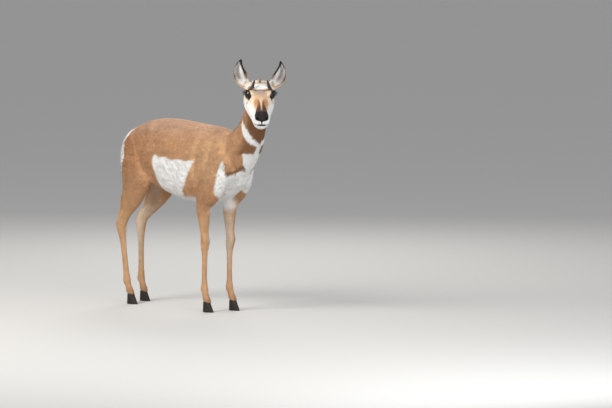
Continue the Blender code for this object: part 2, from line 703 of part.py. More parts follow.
def claw(name, toe, side):
    """One half of a cloven hoof. The toe is the foot's centre on the floor."""
    outline = [
        (0.96, 0.10), (0.80, 0.32), (0.50, 0.66), (0.10, 0.92), (-0.35, 1.00), (-0.75, 0.86), (-0.96, 0.52),
        (-1.00, 0.12), (-0.60, 0.06), (0.00, 0.05), (0.50, 0.055),
    ]
    rings = []
    half = HOOF_LENGTH / 2
    for height, share, lean in ((0.0, 0.97, 0.0), (0.003, 1.0, 0.0), (0.020, 0.93, -0.007), (0.036, 0.84, -0.014),
                                (0.052, 0.74, -0.020)):
        ring = []
        for along, out in outline:
            x = toe.x + half * along * share + lean * (0.6 + 0.4 * along)
            y = toe.y + side * HOOF_HALF_WIDTH * out * (0.55 + 0.45 * share)
            ring.append(Vector((x, y, height)))
        rings.append(ring)
    return loft(name, rings)


def loose_bodies(obj):
    """Splits an object into its closed surfaces, largest first, and drops scraps under a cubic millimetre."""
    bm = bmesh.new()
    bm.from_mesh(obj.data)
    bpy.data.objects.remove(obj, do_unlink=True)
    left = set(bm.verts)
    bodies = []
    while left:
        group = {left.pop()}
        edge = list(group)
        while edge:
            vert = edge.pop()
            for link in vert.link_edges:
                other = link.other_vert(vert)
                if other in left:
                    left.discard(other)
                    group.add(other)
                    edge.append(other)
        piece = bmesh.new()
        made = {}
        for vert in sorted(group, key=lambda item: item.index):
            made[vert] = piece.verts.new(vert.co)
        for face in bm.faces:
            if face.verts[0] in group:
                piece.faces.new([made[vert] for vert in face.verts])
        bodies.append((piece.calc_volume(signed=False), piece))
    bm.free()
    bodies.sort(key=lambda item: -item[0])
    return [piece for volume, piece in bodies if volume > 1e-9]


def middle(bm):
    """The mean place of a body's corners."""
    total = Vector((0, 0, 0))
    for vert in bm.verts:
        total += vert.co
    return total / len(bm.verts)


def tidy(obj):
    """Melts edges too short to matter, splits long flat faces and points the faces out."""
    bm = bmesh.new()
    bm.from_mesh(obj.data)
    bmesh.ops.remove_doubles(bm, verts=bm.verts, dist=2e-6)
    bmesh.ops.triangulate(bm, faces=bm.faces)
    bmesh.ops.recalc_face_normals(bm, faces=bm.faces)
    bm.to_mesh(obj.data)
    bm.free()


def foot_of(kind, side):
    """The middle of a foot on the floor."""
    x, y = FEET[kind]
    return Vector((x + STRIDES[kind, side], y * SIDES[side], 0.0))


def build():
    clear_scene()
    lofts = [trunk(), neck(), skull(), tail()]
    for side, sign in SIDES.items():
        lofts.append(foreleg(sign, STRIDES["foreleg", side]))
        lofts.append(hindleg(sign, STRIDES["hindleg", side]))
        lofts.extend(head_lumps(sign))
    skin = fused(lofts, "skin", SKIN_VOXEL)
    smooth_and_thin(skin)

    # The mouth, nostrils and eye openings are cut in, and the roots of the ears and horns fused on
    surface = tree_of(skin)
    added = [
        along_mouth("upper_lip", surface, MOUTH_LEVEL + 0.0058, MOUTH_REACH * 0.93, 0.0062, 0.0019),
        along_mouth("lower_lip", surface, MOUTH_LEVEL - 0.0048, MOUTH_REACH * 0.90, 0.0052, 0.0017),
    ]
    nodes = {}
    for side, sign in SIDES.items():
        added.append(ear(sign))
        whole, place, way = horn(sign)
        root, nodes["horn_" + side] = parted(whole, place, way, "horn_root", "horn_" + side)
        added.append(root)
        added.append(lids(sign))
    added.extend(mane(surface))
    combine(skin, added, "UNION")
    cutters = [along_mouth("mouth", surface, MOUTH_LEVEL, MOUTH_REACH, 0.0012, 0.0058)]
    for side, sign in SIDES.items():
        cutters.append(nostril(sign))
        cutters.append(eye_opening(sign))
        cutters.append(eyeball(sign, EYE_RADIUS + CUT, 3, "socket"))
    for cutter in cutters:
        combine(skin, [cutter], "DIFFERENCE")

    # Thin cuts part the skin
    slabs = [
        slab(HEAD_CUT + Vector((0.06, -0.025, -0.059)), HEAD_CUT_NORMAL, LEFT, (0.30, 0.36)),
        slab(NECK_CUT, NECK_CUT_NORMAL, (0, 1, 0), (0.40, 0.60)),
        slab(TAIL_CUT, (1, 0, 0), (0, 1, 0), (0.08, 0.30)),
    ]
    for sign in SIDES.values():
        slabs.append(slab(*ear_seat(sign), FACE, (0.11, 0.09)))
    for (kind, side), stride in STRIDES.items():
        front = kind == "foreleg"
        foot = foot_of(kind, side)
        level = ELBOW_LEVEL if front else STIFLE_LEVEL
        centre = Vector((0.210 if front else -0.290, foot.y, level))
        slabs.append(slab(centre, (0, 0, 1), (1, 0, 0), (0.30, 0.13)))
        slabs.append(slab(foot + Vector((0, 0, CORONET_HEIGHT)), CORONET_SLOPE, (1, 0, 0), (0.12, 0.08)))
    for cutter in slabs:
        combine(skin, [cutter], "DIFFERENCE", "MANIFOLD")

    bodies = loose_bodies(skin)
    for body in bodies:
        name = name_of(middle(body))
        if name is None or name in nodes:
            body.free()
            continue
        nodes[name] = new_object(name, body)

    for side, sign in SIDES.items():
        nodes["eye_" + side] = eyeball(sign, EYE_RADIUS, 3, "eye_" + side)
        for kind in ("foreleg", "hindleg"):
            foot = foot_of(kind, side)
            for half, out in (("outer", 1), ("inner", -1)):
                name = f"hoof_{kind[:-3]}_{side}_{half}"
                whole = claw(name + "_whole", foot, sign * out)
                nodes[name] = cut_by_plane(whole, foot + Vector((0, 0, CORONET_HEIGHT)), CORONET_SLOPE, name)
                bpy.data.objects.remove(whole, do_unlink=True)
    for name, obj in nodes.items():
        obj.name = name
        obj.data.name = name
        tidy(obj)
    finish_all(nodes)


def name_of(point):
    """The name of a piece of the skin, from where its middle is."""
    for side, sign in SIDES.items():
        seat, normal = ear_seat(sign)
        if (point - seat).dot(normal) > 0 and point.z > HEAD_PLACE.z:
            return "ear_" + side
    if (point - HEAD_CUT).dot(HEAD_CUT_NORMAL) > 0:
        return "head"
    if (point - NECK_CUT).dot(NECK_CUT_NORMAL) > 0:
        return "neck"
    if point.x < TAIL_CUT.x and point.z > STIFLE_LEVEL:
        return "tail"
    if point.z > STIFLE_LEVEL:
        return "torso"
    if point.z < 2 * CORONET_HEIGHT:
        return None
    side = "left" if point.y > 0 else "right"
    return f"{'foreleg' if point.x > 0 else 'hindleg'}_{side}"


def centre_of(objects):
    """The middle of the box round some objects' meshes, to a tenth of a millimetre."""
    corners = np.array([vert.co for obj in objects for vert in obj.data.vertices])
    return Vector(np.round((corners.min(0) + corners.max(0)) / 2, 4))


def finish_all(nodes):
    """Gives each piece its material, its own origin and the animal as its parent, which stands on the origin."""
    under = centre_of(nodes.values())
    under.z = 0.0
    body = bpy.data.objects.new("pronghorn", None)
    bpy.context.scene.collection.objects.link(body)
    coat = finish("Coat", (0.46, 0.28, 0.16), 0.9)
    horn_finish = finish("Horn", (0.03, 0.028, 0.026), 0.5)
    eye_finish = finish("Eye", (0.01, 0.008, 0.007), 0.1)
    for name, obj in nodes.items():
        kind = name.split("_")[0]
        material = {"eye": eye_finish, "horn": horn_finish, "hoof": horn_finish}.get(kind, coat)
        obj.data.materials.clear()
        obj.data.materials.append(material)
        place = centre_of([obj])
        obj.data.transform(Matrix.Translation(-place))
        obj.location = place - under
        obj.parent = body


build()
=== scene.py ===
import math

import bmesh
import bpy
import numpy as np
from mathutils import Matrix, Vector


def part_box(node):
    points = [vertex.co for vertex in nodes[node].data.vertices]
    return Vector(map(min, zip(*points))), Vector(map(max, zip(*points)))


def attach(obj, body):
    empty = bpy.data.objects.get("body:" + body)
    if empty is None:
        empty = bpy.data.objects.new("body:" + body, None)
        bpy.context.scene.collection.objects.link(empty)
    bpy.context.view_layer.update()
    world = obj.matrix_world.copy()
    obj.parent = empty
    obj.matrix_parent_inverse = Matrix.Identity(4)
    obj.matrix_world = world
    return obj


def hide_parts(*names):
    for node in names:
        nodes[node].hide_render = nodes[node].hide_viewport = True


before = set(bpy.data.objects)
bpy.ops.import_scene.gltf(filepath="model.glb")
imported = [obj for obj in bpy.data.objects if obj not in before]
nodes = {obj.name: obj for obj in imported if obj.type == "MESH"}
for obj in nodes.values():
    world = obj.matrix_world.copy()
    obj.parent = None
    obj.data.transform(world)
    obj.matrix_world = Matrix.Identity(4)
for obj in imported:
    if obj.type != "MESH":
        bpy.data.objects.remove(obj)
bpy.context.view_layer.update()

# The animal's own axes
# The body runs along X with its middle plane through the tail, and the head is turned to its right and
# dropped. The head's place comes from the two eyes, which the frame gives.
HEAD_TURN = math.radians(-40.6)
HEAD_DROP = math.radians(35.0)
HEAD_ROLL = math.radians(1.5)
EYE_IN_HEAD = (0.077, 0.0465, 0.010)
SIDES = {"left": 1, "right": -1}


def middle_of(node):
    """The middle of a node's box."""
    low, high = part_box(node)
    return (Vector(low) + Vector(high)) / 2


heading = Vector((math.cos(HEAD_TURN), math.sin(HEAD_TURN), 0.0))
face_way = heading * math.cos(HEAD_DROP) - Vector((0, 0, math.sin(HEAD_DROP)))
level_way = Vector((-heading.y, heading.x, 0.0))
left_way = level_way * math.cos(HEAD_ROLL) - face_way.cross(level_way) * math.sin(HEAD_ROLL)
crown_way = face_way.cross(left_way)
eyes_middle = (middle_of("eye_left") + middle_of("eye_right")) / 2
head_place = eyes_middle - face_way * EYE_IN_HEAD[0] - crown_way * EYE_IN_HEAD[2]
head_turn = Matrix((face_way, left_way, crown_way)).transposed()
midline = middle_of("tail").y


def in_head(along, left, up):
    """A place given in the head's own frame: from the poll to the nose, to the left and up from the face."""
    return head_place + head_turn @ Vector((along, left, up))


def head_of(places):
    """Places as the head's own three measures."""
    return (places - np.array(head_place)) @ np.array(head_turn)


def unit(rows):
    """Rows brought to a length of one."""
    return rows / np.maximum(np.linalg.norm(rows, axis=1, keepdims=True), 1e-9)


def ramp(value, low, high):
    """0 up to low, 1 from high on, and smooth between."""
    share = np.clip((value - low) / (high - low), 0.0, 1.0)
    return share * share * (3 - 2 * share)


def band(value, low, high, soft):
    """1 between low and high, with soft edges."""
    return ramp(value, low - soft, low + soft) * (1 - ramp(value, high - soft, high + soft))


def waver(places, size, seed):
    """A smooth unevenness between about -1 and 1 that changes over a distance of about size."""
    random = np.random.default_rng(seed)
    total = np.zeros(len(places))
    for _ in range(6):
        way = random.normal(size=3)
        way /= np.linalg.norm(way)
        total += np.sin(places @ way * (6.283 / size) * random.uniform(0.7, 1.4) + random.uniform(0, 6.283))
    return total / 3


# The markings
# A rusty tan back and neck with a white rump, flank, chest and throat bands, a dark muzzle and pale
# cheeks. One function gives them for any place, so that the skin and the coat carry the same.
TAN = (0.60, 0.330, 0.170)
RUST = (0.53, 0.255, 0.125)
GOLD = (0.66, 0.400, 0.215)
BROWN = (0.205, 0.090, 0.038)
DARK = (0.060, 0.034, 0.022)
BLACK = (0.012, 0.010, 0.009)
WHITE = (0.94, 0.925, 0.90)
# A greyer white for the cheeks and lips: painted shade, since they face the key light
SHADED_WHITE = (0.81, 0.795, 0.77)
CREAM = (0.78, 0.64, 0.49)
PEACH = (0.66, 0.43, 0.27)
ORANGE = (0.50, 0.235, 0.095)
ASH = (0.44, 0.345, 0.285)
FLUSH = (0.60, 0.38, 0.255)

EAR_SEAT = np.array((-0.12, 0.80, 0.60)) / np.linalg.norm((-0.12, 0.80, 0.60))
EAR_SEAT_DEPTH = 0.0560
EAR_UP = np.array((-0.700, 0.0, 0.714))
EAR_FORWARD = np.array((0.714, 0.0, 0.700))
EAR_ROOT = np.array((0.004, 0.0, 0.010))
EAR_HINGE = np.array((0.0, 0.050, 0.010))
EAR_LEANS = {1: math.radians(7.5), -1: math.radians(-3.0)}
EAR_HEIGHTS = (-0.008, 0.006, 0.026, 0.049, 0.071, 0.091, 0.106, 0.115)
EAR_OUTS = (0.050, 0.071, 0.0845, 0.094, 0.0975, 0.0955, 0.0910, 0.0870)
EAR_HALVES = (0.0210, 0.0265, 0.0310, 0.0300, 0.0240, 0.0155, 0.0082, 0.0030)


def paint(colours, colour, share):
    """Lays a colour over others by each place's share."""
    return colours + (np.array(colour) - colours) * share[:, None]


def ear_measures(places):
    """For each place: whether it is on an ear, its height along it, and how far across, -1 inside to 1 outside."""
    measured = head_of(places)
    side = np.where(measured[:, 1] > 0, 1.0, -1.0)
    mirrored = measured * np.stack([np.ones(len(side)), side, np.ones(len(side))], axis=1)
    depth = mirrored @ EAR_SEAT - EAR_SEAT_DEPTH
    lean = np.where(side > 0, EAR_LEANS[1], EAR_LEANS[-1])
    offset = mirrored - EAR_HINGE
    straight = offset.copy()
    straight[:, 1] = offset[:, 1] * np.cos(lean) - offset[:, 2] * np.sin(lean)
    straight[:, 2] = offset[:, 1] * np.sin(lean) + offset[:, 2] * np.cos(lean)
    straight += EAR_HINGE
    height = (straight - EAR_ROOT) @ EAR_UP
    out = straight[:, 1]
    across = (out - np.interp(height, EAR_HEIGHTS, EAR_OUTS)) / np.interp(height, EAR_HEIGHTS, EAR_HALVES)
    on_ear = (depth > -0.002) & (measured[:, 0] < 0.045) & (height > -0.02) & (out > 0.045)
    return on_ear, height / EAR_HEIGHTS[-1], across


def neck_angle(places):
    """How far round the neck a place is from the middle of the throat, in degrees, to the right above 0."""
    heights = (0.760, 0.825, 0.892, 0.955, 1.005)
    middles_x = np.interp(places[:, 2], heights, (0.246, 0.304, 0.335, 0.353, 0.365))
    middles_y = np.interp(places[:, 2], heights, (0.0126, 0.0116, 0.0096, 0.0046, -0.0024))
    return np.degrees(np.arctan2(middles_y - places[:, 1], places[:, 0] - middles_x))


def throat_markings(colours, places, edge):
    """The brown throat with its two white bands, and the brown bars at the bottom of the neck."""
    x, y, z = places.T
    out = np.abs(y - midline)
    # The throat's middle line turns with the head on its way up
    middle = np.interp(z, (0.740, 0.815, 0.960), (0.0, 3.0, 28.0))
    turn = (neck_angle(places) - middle + 180) % 360 - 180
    turn = np.where(turn < 0, -1.20 * turn, turn)
    neck = ramp(x, 0.20, 0.26) * ramp(z, 0.66, 0.70)
    throat = neck * (1 - ramp(turn, 40, 92)) * ramp(z, 0.79, 0.83)
    colours = paint(colours, BROWN, throat * 0.92)
    colours = paint(colours, RUST, neck * band(turn, 75, 140, 25) * ramp(z, 0.86, 0.92) * 0.30)
    brown_band = neck * band(z, 0.764, 0.815, 0.010) * (1 - ramp(turn, 42, 80))
    colours = paint(colours, BROWN, brown_band * 0.80)
    top = np.interp(turn, (0, 13, 25, 60, 98, 110), (0.8130, 0.8290, 0.8400, 0.8820, 0.9130, 0.9160))
    bottom = np.interp(turn, (0, 3, 25, 53, 82, 106, 115), (0.8000, 0.8010, 0.8110, 0.8310, 0.8650, 0.8990, 0.9120))
    upper = band(z + edge * 0.4, bottom, top, 0.0030) * (1 - ramp(turn, 106, 112)) * ramp(x, 0.20, 0.24)
    # The lower band is bounded by how far a place lies forward less how far it lies out, and runs down
    # into the white chest
    forward = x - out + midline
    lower_start = np.interp(z, (0.660, 0.690, 0.724, 0.764), (0.289, 0.289, 0.277, 0.271))
    lower = ramp(forward + edge * 0.4, lower_start - 0.004, lower_start + 0.004)
    lower *= band(z + edge * 0.5, 0.600, 0.766, 0.004)
    strip = (1 - ramp(np.abs(y - midline + 0.007), 0.008, 0.013)) * band(z, 0.758, 0.806, 0.006) * ramp(x, 0.27, 0.30)
    return paint(colours, WHITE, np.maximum(np.maximum(upper, lower), strip))


def body_markings(places):
    """The colours of the trunk, neck, legs and tail."""
    x, z = places[:, 0], places[:, 2]
    out = np.abs(places[:, 1] - midline)
    edge = waver(places, 0.055, 3) * 0.0035 + waver(places, 0.013, 4) * 0.0022
    broad = waver(places, 0.16, 5)
    colours = np.tile(np.array(TAN), (len(places), 1))
    colours = paint(colours, RUST, ramp(-x, 0.10, 0.42) * ramp(z, 0.60, 0.72) * 0.75)
    colours = paint(colours, GOLD, band(x, 0.02, 0.24, 0.09) * ramp(z, 0.58, 0.66) * (1 - ramp(z, 0.78, 0.86)) * 0.85)
    colours = paint(colours, FLUSH, ramp(z, 0.79, 0.875) * ramp(0.30 - x, 0.0, 0.10) * 0.8)
    streaks = waver(places * np.array((0.30, 1.0, 1.0)), 0.030, 6) * ramp(z, 0.52, 0.60)
    colours = colours * (1 + 0.06 * broad + 0.045 * streaks)[:, None]
    # The legs are tan outside and cream inside, a little darker at the pasterns
    leg = 1 - ramp(z, 0.42, 0.54)
    colours = paint(colours, GOLD, leg * 0.6)
    inner = leg * (1 - ramp(out, 0.064, 0.082)) * ramp(z, 0.10, 0.34)
    colours = paint(colours, CREAM, inner * 0.75)
    colours = paint(colours, BROWN, (1 - ramp(z, 0.05, 0.11)) * 0.45)
    # The flank, the belly and the inside of the thighs
    front = np.interp(z, (0.540, 0.584, 0.626, 0.674, 0.712), (-0.045, -0.022, 0.008, 0.038, 0.049))
    rear = np.interp(z, (0.596, 0.660, 0.714, 0.735), (-0.198, -0.210, -0.223, -0.214))
    top = np.interp(x, (-0.214, -0.189, -0.120, -0.063, 0.046), (0.7240, 0.7305, 0.7250, 0.7215, 0.7195)) + edge
    flank = (1 - ramp(z, top - 0.004, top + 0.005)) * (1 - ramp(x, front - 0.005 + edge, front + 0.006 + edge))
    flank *= ramp(x, rear - 0.004 + edge, rear + 0.008 + edge)
    flank = np.where(z > 0.46, flank, 0.0)
    belly = 1 - ramp(z, 0.532 + out * 0.10, 0.560 + out * 0.10)
    belly *= band(x, -0.235, 0.130, 0.03) * ramp(z, 0.455, 0.505) * (1 - ramp(out, 0.075, 0.105))
    groin = (1 - ramp(out, 0.03, 0.065)) * (1 - ramp(z, 0.62, 0.68)) * ramp(z, 0.46, 0.52)
    groin *= 1 - ramp(x, 0.06, 0.12)
    colours = paint(colours, WHITE, np.maximum(np.maximum(flank, belly), groin))
    # The shoulder ends below in a dark edge over the white chest, which runs up into a notch
    forward = x - out + midline
    chest_top = np.interp(forward, (0.161, 0.202, 0.246, 0.271), (0.660, 0.661, 0.679, 0.686)) + edge
    arm = np.interp(z, (0.525, 0.581, 0.620, 0.660), (0.194, 0.186, 0.196, 0.206))
    chest = ramp(x, arm - 0.006 + edge, arm + 0.008 + edge) * (1 - ramp(z, chest_top - 0.004, chest_top + 0.004))
    chest *= ramp(z, 0.525, 0.560) + (1 - ramp(z, 0.525, 0.560)) * (1 - ramp(out, 0.05, 0.07))
    inside_arm = (1 - ramp(out, 0.050, 0.066)) * ramp(x, 0.05, 0.09) * (1 - ramp(z, 0.62, 0.67)) * ramp(z, 0.47, 0.54)
    chest = np.maximum(chest, inside_arm)
    notch_half = np.interp(z, (0.640, 0.660, 0.688, 0.726), (0.017, 0.016, 0.0115, 0.001))
    notch_at = np.interp(z, (0.640, 0.660, 0.690, 0.722), (0.219, 0.222, 0.2235, 0.2225))
    notch = (1 - ramp(np.abs(x - notch_at) - notch_half + edge * 0.5, -0.003, 0.004)) * band(z, 0.640, 0.727, 0.004)
    notch *= ramp(out, 0.05, 0.075)
    dark_edge = band(z, chest_top + 0.001, chest_top + 0.020, 0.008) * ramp(x, 0.224, 0.244) * ramp(out, 0.011, 0.018)
    colours = paint(colours, BROWN, dark_edge * 0.82)
    colours = throat_markings(colours, places, edge)
    colours = paint(colours, WHITE, np.maximum(chest, notch))
    # The nape's dark mane
    mane = ramp(np.abs(neck_angle(places)), 158, 172) * ramp(z, 0.86, 0.90) * np.where(x > 0.1, 1.0, 0.0)
    colours = paint(colours, BROWN, mane * 0.8)
    # The rump patch and the tail
    limit = np.interp(z, (0.620, 0.660, 0.690, 0.718, 0.757, 0.788, 0.860),
                      (-0.510, -0.462, -0.438, -0.431, -0.436, -0.440, -0.412)) + edge * 0.8
    rump = (1 - ramp(x, limit - 0.005, limit + 0.006)) * ramp(z, 0.61, 0.64) * (1 - ramp(z + out * 0.25, 0.868, 0.882))
    colours = paint(colours, WHITE, rump)
    tail = (1 - ramp(x, -0.545, -0.535)) * (1 - ramp(out, 0.006, 0.012))
    return paint(colours, RUST, tail * 0.80)


EYE_RADIUS = 0.0232
EYE_LOOK = (0.62, 0.76, 0.16)
OPENING_HALF_LENGTH = 0.0230
OPENING_UP = 0.0165
OPENING_DOWN = 0.0155


def eye_axes(sign):
    """An eye's middle, the way it looks, its level and its rise."""
    look = (head_turn @ Vector((EYE_LOOK[0], EYE_LOOK[1] * sign, EYE_LOOK[2]))).normalized()
    level = (head_turn @ Vector((1.0, 0.0, -0.75))).normalized()
    rise = (level.cross(look) * sign).normalized()
    level = (look.cross(rise) * sign).normalized()
    side = "left" if sign > 0 else "right"
    return [np.array(item) for item in (middle_of("eye_" + side), look, level, rise)]


def beyond_opening(places, sign):
    """How far outside the almond between the lids a place lies, and how far up, both along the eyeball."""
    centre, look, level, rise = eye_axes(sign)
    ways = unit(places - centre)
    arc = EYE_RADIUS * np.arccos(np.clip(ways @ look, -1, 1))
    arc /= np.maximum(np.hypot(ways @ level, ways @ rise), 1e-6)
    along = ways @ level * arc
    up = ways @ rise * arc
    height = np.where(up > 0, OPENING_UP, OPENING_DOWN)
    reach = np.sqrt((np.abs(along) / OPENING_HALF_LENGTH) ** 2.2 + (up / height) ** 2)
    return (reach - 1) * OPENING_DOWN * 1.1, up


def muzzle_marks(places):
    """How far each place belongs to the nose pad, a nostril, the groove below the nose and the mouth's line."""
    along, side, up = head_of(places).T
    out = np.abs(side)
    pad_side = np.interp(along, (0.200, 0.205, 0.214, 0.222, 0.233, 0.2435, 0.247),
                         (0.0225, 0.0272, 0.0325, 0.0322, 0.0312, 0.0272, 0.0245))
    pad = ramp(along + 0.16 * out, 0.2010, 0.2085) * (1 - ramp(out, pad_side - 0.0013, pad_side + 0.0013))
    pad *= ramp(up - 0.0016 * (out / 0.028) ** 4, -0.0150, -0.0120)
    reach = np.hypot(np.hypot((along - 0.2375) / 0.0120, (out - 0.0195) / 0.0062), (up + 0.0065) / 0.0060)
    nostril = 1 - ramp(reach, 0.55, 1.15)
    groove_half = np.interp(up, (-0.034, -0.024, -0.013), (0.0012, 0.0014, 0.0048))
    groove = ramp(along, 0.22, 0.23) * (1 - ramp(out - groove_half, 0.0, 0.0020)) * band(up, -0.036, -0.010, 0.002)
    mouth_level = -0.0365 - 0.006 * (out / 0.045) ** 2
    mouth = (1 - ramp(np.abs(up - mouth_level), 0.0012, 0.0030)) * ramp(along, 0.200, 0.215)
    here = head_share(places) * ramp(along, 0.17, 0.19)
    return pad * here, nostril * here, groove * here, mouth * here


def head_markings(places, colours):
    """The colours of the head without its ears, laid over the neck's."""
    along, side, up = head_of(places).T
    out = np.abs(side)
    colours = paint(colours, GOLD, ramp(along + 0.4 * up, -0.01, 0.05))
    # The throat and the back of the jaw
    under = 1 - ramp(up, -0.105, -0.085)
    colours = paint(colours, BROWN, under * (1 - ramp(along, 0.16, 0.20)) * ramp(along, -0.01, 0.03) * 0.6)
    # Pale cheeks and lips, the sides of the muzzle and the chin; the cheeks and lips get a greyer white than the rest,
    # as painted shade, since they face the key light
    cheek_top = -0.012 + 0.22 * (along - 0.10)
    cheek = (1 - ramp(up, cheek_top - 0.012, cheek_top + 0.012)) * ramp(along, 0.018, 0.050)
    cheek *= ramp(up + (along - 0.10) * 0.55, -0.116, -0.094)
    face = ramp(along, 0.080, 0.110) * ramp(up, -0.06, -0.03)
    colours = paint(colours, PEACH, face)
    colours = paint(colours, CREAM, face * ramp(out, 0.026, 0.040) * 0.9)
    colours = paint(colours, CREAM, face * (1 - ramp(out, 0.004, 0.016)) * ramp(along, 0.10, 0.14) * 0.35)
    above_eyes = band(along, 0.060, 0.100, 0.010) * band(out, 0.026, 0.048, 0.008) * ramp(up, 0.0, 0.02)
    colours = paint(colours, CREAM, above_eyes * 0.85)
    forehead = band(along, 0.066, 0.099, 0.010) * (1 - ramp(out, 0.020, 0.034)) * ramp(up, 0.0, 0.02)
    colours = paint(colours, ASH, forehead * 0.85)
    fold_at = np.interp(along, (0.078, 0.101), (0.0350, 0.0255))
    fold = band(along, 0.077, 0.101, 0.004) * (1 - ramp(np.abs(out - fold_at), 0.0008, 0.0030))
    colours = paint(colours, BROWN, fold * ramp(up, 0.0, 0.02) * 0.45)
    colours = paint(colours, SHADED_WHITE, cheek)
    colours = paint(colours, SHADED_WHITE, ramp(along, 0.160, 0.200) * (1 - ramp(up, -0.018, -0.006)))
    patch_side = np.interp(along, (0.120, 0.140, 0.170, 0.198), (0.0300, 0.0345, 0.0330, 0.0250))
    patch = band(along, 0.126, 0.192, 0.010) * ramp(out, 0.009, 0.015) * (1 - ramp(out, patch_side - 0.006, patch_side + 0.002))
    patch *= ramp(up, -0.018, -0.004)
    colours = paint(colours, ORANGE, patch * (0.90 - 0.25 * ramp(along, 0.165, 0.190)))
    glow = np.hypot((along - 0.172) / 0.018, (out - 0.0275) / 0.0055)
    colours = paint(colours, PEACH, (1 - ramp(glow, 0.3, 1.0)) * 0.7)
    streak_at = np.interp(along, (0.130, 0.154, 0.170, 0.185, 0.200), (0.0120, 0.0098, 0.0108, 0.0140, 0.0165))
    streak_half = np.interp(along, (0.130, 0.154, 0.185, 0.203), (0.0018, 0.0052, 0.0090, 0.0120))
    streak = band(along, 0.134, 0.225, 0.012) * (1 - ramp(np.abs(out - streak_at) - streak_half, -0.002, 0.0025))
    streak *= ramp(up, -0.016, -0.006)
    colours = paint(colours, BROWN, band(along, 0.176, 0.210, 0.010) * (1 - ramp(out, 0.008, 0.014)) * ramp(up, -0.01, 0.0) * 0.65)
    colours = paint(colours, BROWN, streak * 0.92)
    colours = paint(colours, DARK, streak * ramp(along, 0.148, 0.182) * 0.90)
    # The cream crown with its streak, the white band between the horns, the pale sides up to the ears and
    # the dark brows from the horns back over the eyes
    colours = paint(colours, CREAM, ramp(up, -0.03, 0.0) * (1 - ramp(along, 0.03, 0.06)) * ramp(along, -0.035, -0.01) * 0.8)
    colours = paint(colours, (0.86, 0.77, 0.64), band(along, -0.020, 0.030, 0.008) * (1 - ramp(out, 0.028, 0.036)) * ramp(up, 0.0, 0.01) * 0.8)
    colours = paint(colours, TAN, (1 - ramp(along, -0.040, -0.020)) * (1 - ramp(out, 0.03, 0.05)) * 0.8)
    colours = paint(colours, BROWN, band(along, -0.030, 0.022, 0.006) * (1 - ramp(np.abs(side - 0.001), 0.002, 0.008)) * 0.8)
    white_band = band(along + 9 * side**2, 0.0335, 0.0680, 0.0030) * (1 - ramp(out, 0.036, 0.041)) * ramp(up, 0.01, 0.02)
    colours = paint(colours, WHITE, white_band)
    tufted = band(along, -0.012, 0.030, 0.010) * band(out, 0.042, 0.066, 0.006) * ramp(up, -0.012, 0.0)
    colours = paint(colours, WHITE, tufted * 0.9)
    brow_at = 0.0500 - 0.0060 * ramp(along, 0.03, 0.06)
    brow = band(along, 0.018, 0.070, 0.006) * (1 - ramp(np.abs(out - brow_at), 0.0030, 0.0075)) * ramp(up, -0.004, 0.006)
    colours = paint(colours, BROWN, brow * 0.8)
    ridge = band(along, 0.0705, 0.0785, 0.0025) * (1 - ramp(out, 0.038, 0.046)) * ramp(up, 0.01, 0.02)
    colours = paint(colours, (0.13, 0.075, 0.055), ridge * (0.35 + 0.55 * ramp(out, 0.008, 0.022)))
    rim_line = band(along + 14 * side**2, 0.0195, 0.0255, 0.0020) * (1 - ramp(out, 0.026, 0.034)) * ramp(up, 0.0, 0.01)
    colours = paint(colours, BROWN, rim_line * 0.65)
    horn_foot = np.hypot((along - 0.071) / 0.012, (out - 0.0455) / 0.0125)
    colours = paint(colours, DARK, (1 - ramp(horn_foot, 0.75, 1.15)) * ramp(up, 0.012, 0.022) * 0.92)
    # The small dark spot under each eye
    spot = np.hypot(np.hypot((along - 0.101) * 0.8, out - 0.0600), (up + 0.0230) * 0.8)
    colours = paint(colours, BROWN, (1 - ramp(spot, 0.0035, 0.0065)) * 0.92)
    # The bare dark muzzle with its nostrils and groove, and the line of the mouth
    top_of_pad = band(along, 0.194, 0.212, 0.006) * (1 - ramp(out, 0.022, 0.029)) * ramp(up, -0.01, 0.0)
    colours = paint(colours, (0.085, 0.044, 0.038), top_of_pad * 0.9)
    pad, nostril, groove, mouth = muzzle_marks(places)
    # A painted sheen: a faint purplish glow over the middle of the pad, as light on the wet nose
    sheen = np.hypot((along - 0.219) / 0.019, out / 0.019)
    colours = paint(colours, BLACK, np.maximum(pad, groove))
    colours = paint(colours, (0.036, 0.018, 0.020), pad * (1 - ramp(sheen, 0.2, 1.0)) * 0.85)
    # The nostrils are painted near black, darker than the pad, as painted shade in their openings
    colours = paint(colours, (0.003, 0.002, 0.002), nostril)
    lip = band(up, -0.0405, -0.0295, 0.0012) * (1 - ramp(out, 0.012, 0.022)) * ramp(along, 0.205, 0.212)
    colours = paint(colours, BLACK, lip * 0.92)
    colours = paint(colours, BLACK, mouth * (1 - ramp(out, 0.030, 0.040)) * 0.97)
    colours = paint(colours, BROWN, mouth * ramp(out, 0.030, 0.040) * 0.6)
    # The dark skin round the eyes, widest above them and narrower towards the front
    for sign in (1, -1):
        centre, look, level, rise = eye_axes(sign)
        outside, high = beyond_opening(places, sign)
        ahead = (places - centre) @ level
        near = 1 - ramp(np.linalg.norm(places - centre, axis=1), EYE_RADIUS + 0.006, EYE_RADIUS + 0.010)
        width = 0.0026 + 0.0036 * ramp(high, 0.002, 0.014) * (1 - 0.5 * ramp(ahead, 0.004, 0.016))
        colours = paint(colours, BLACK, (1 - ramp(outside, width, width + 0.0012)) * near * 0.97)
    return colours


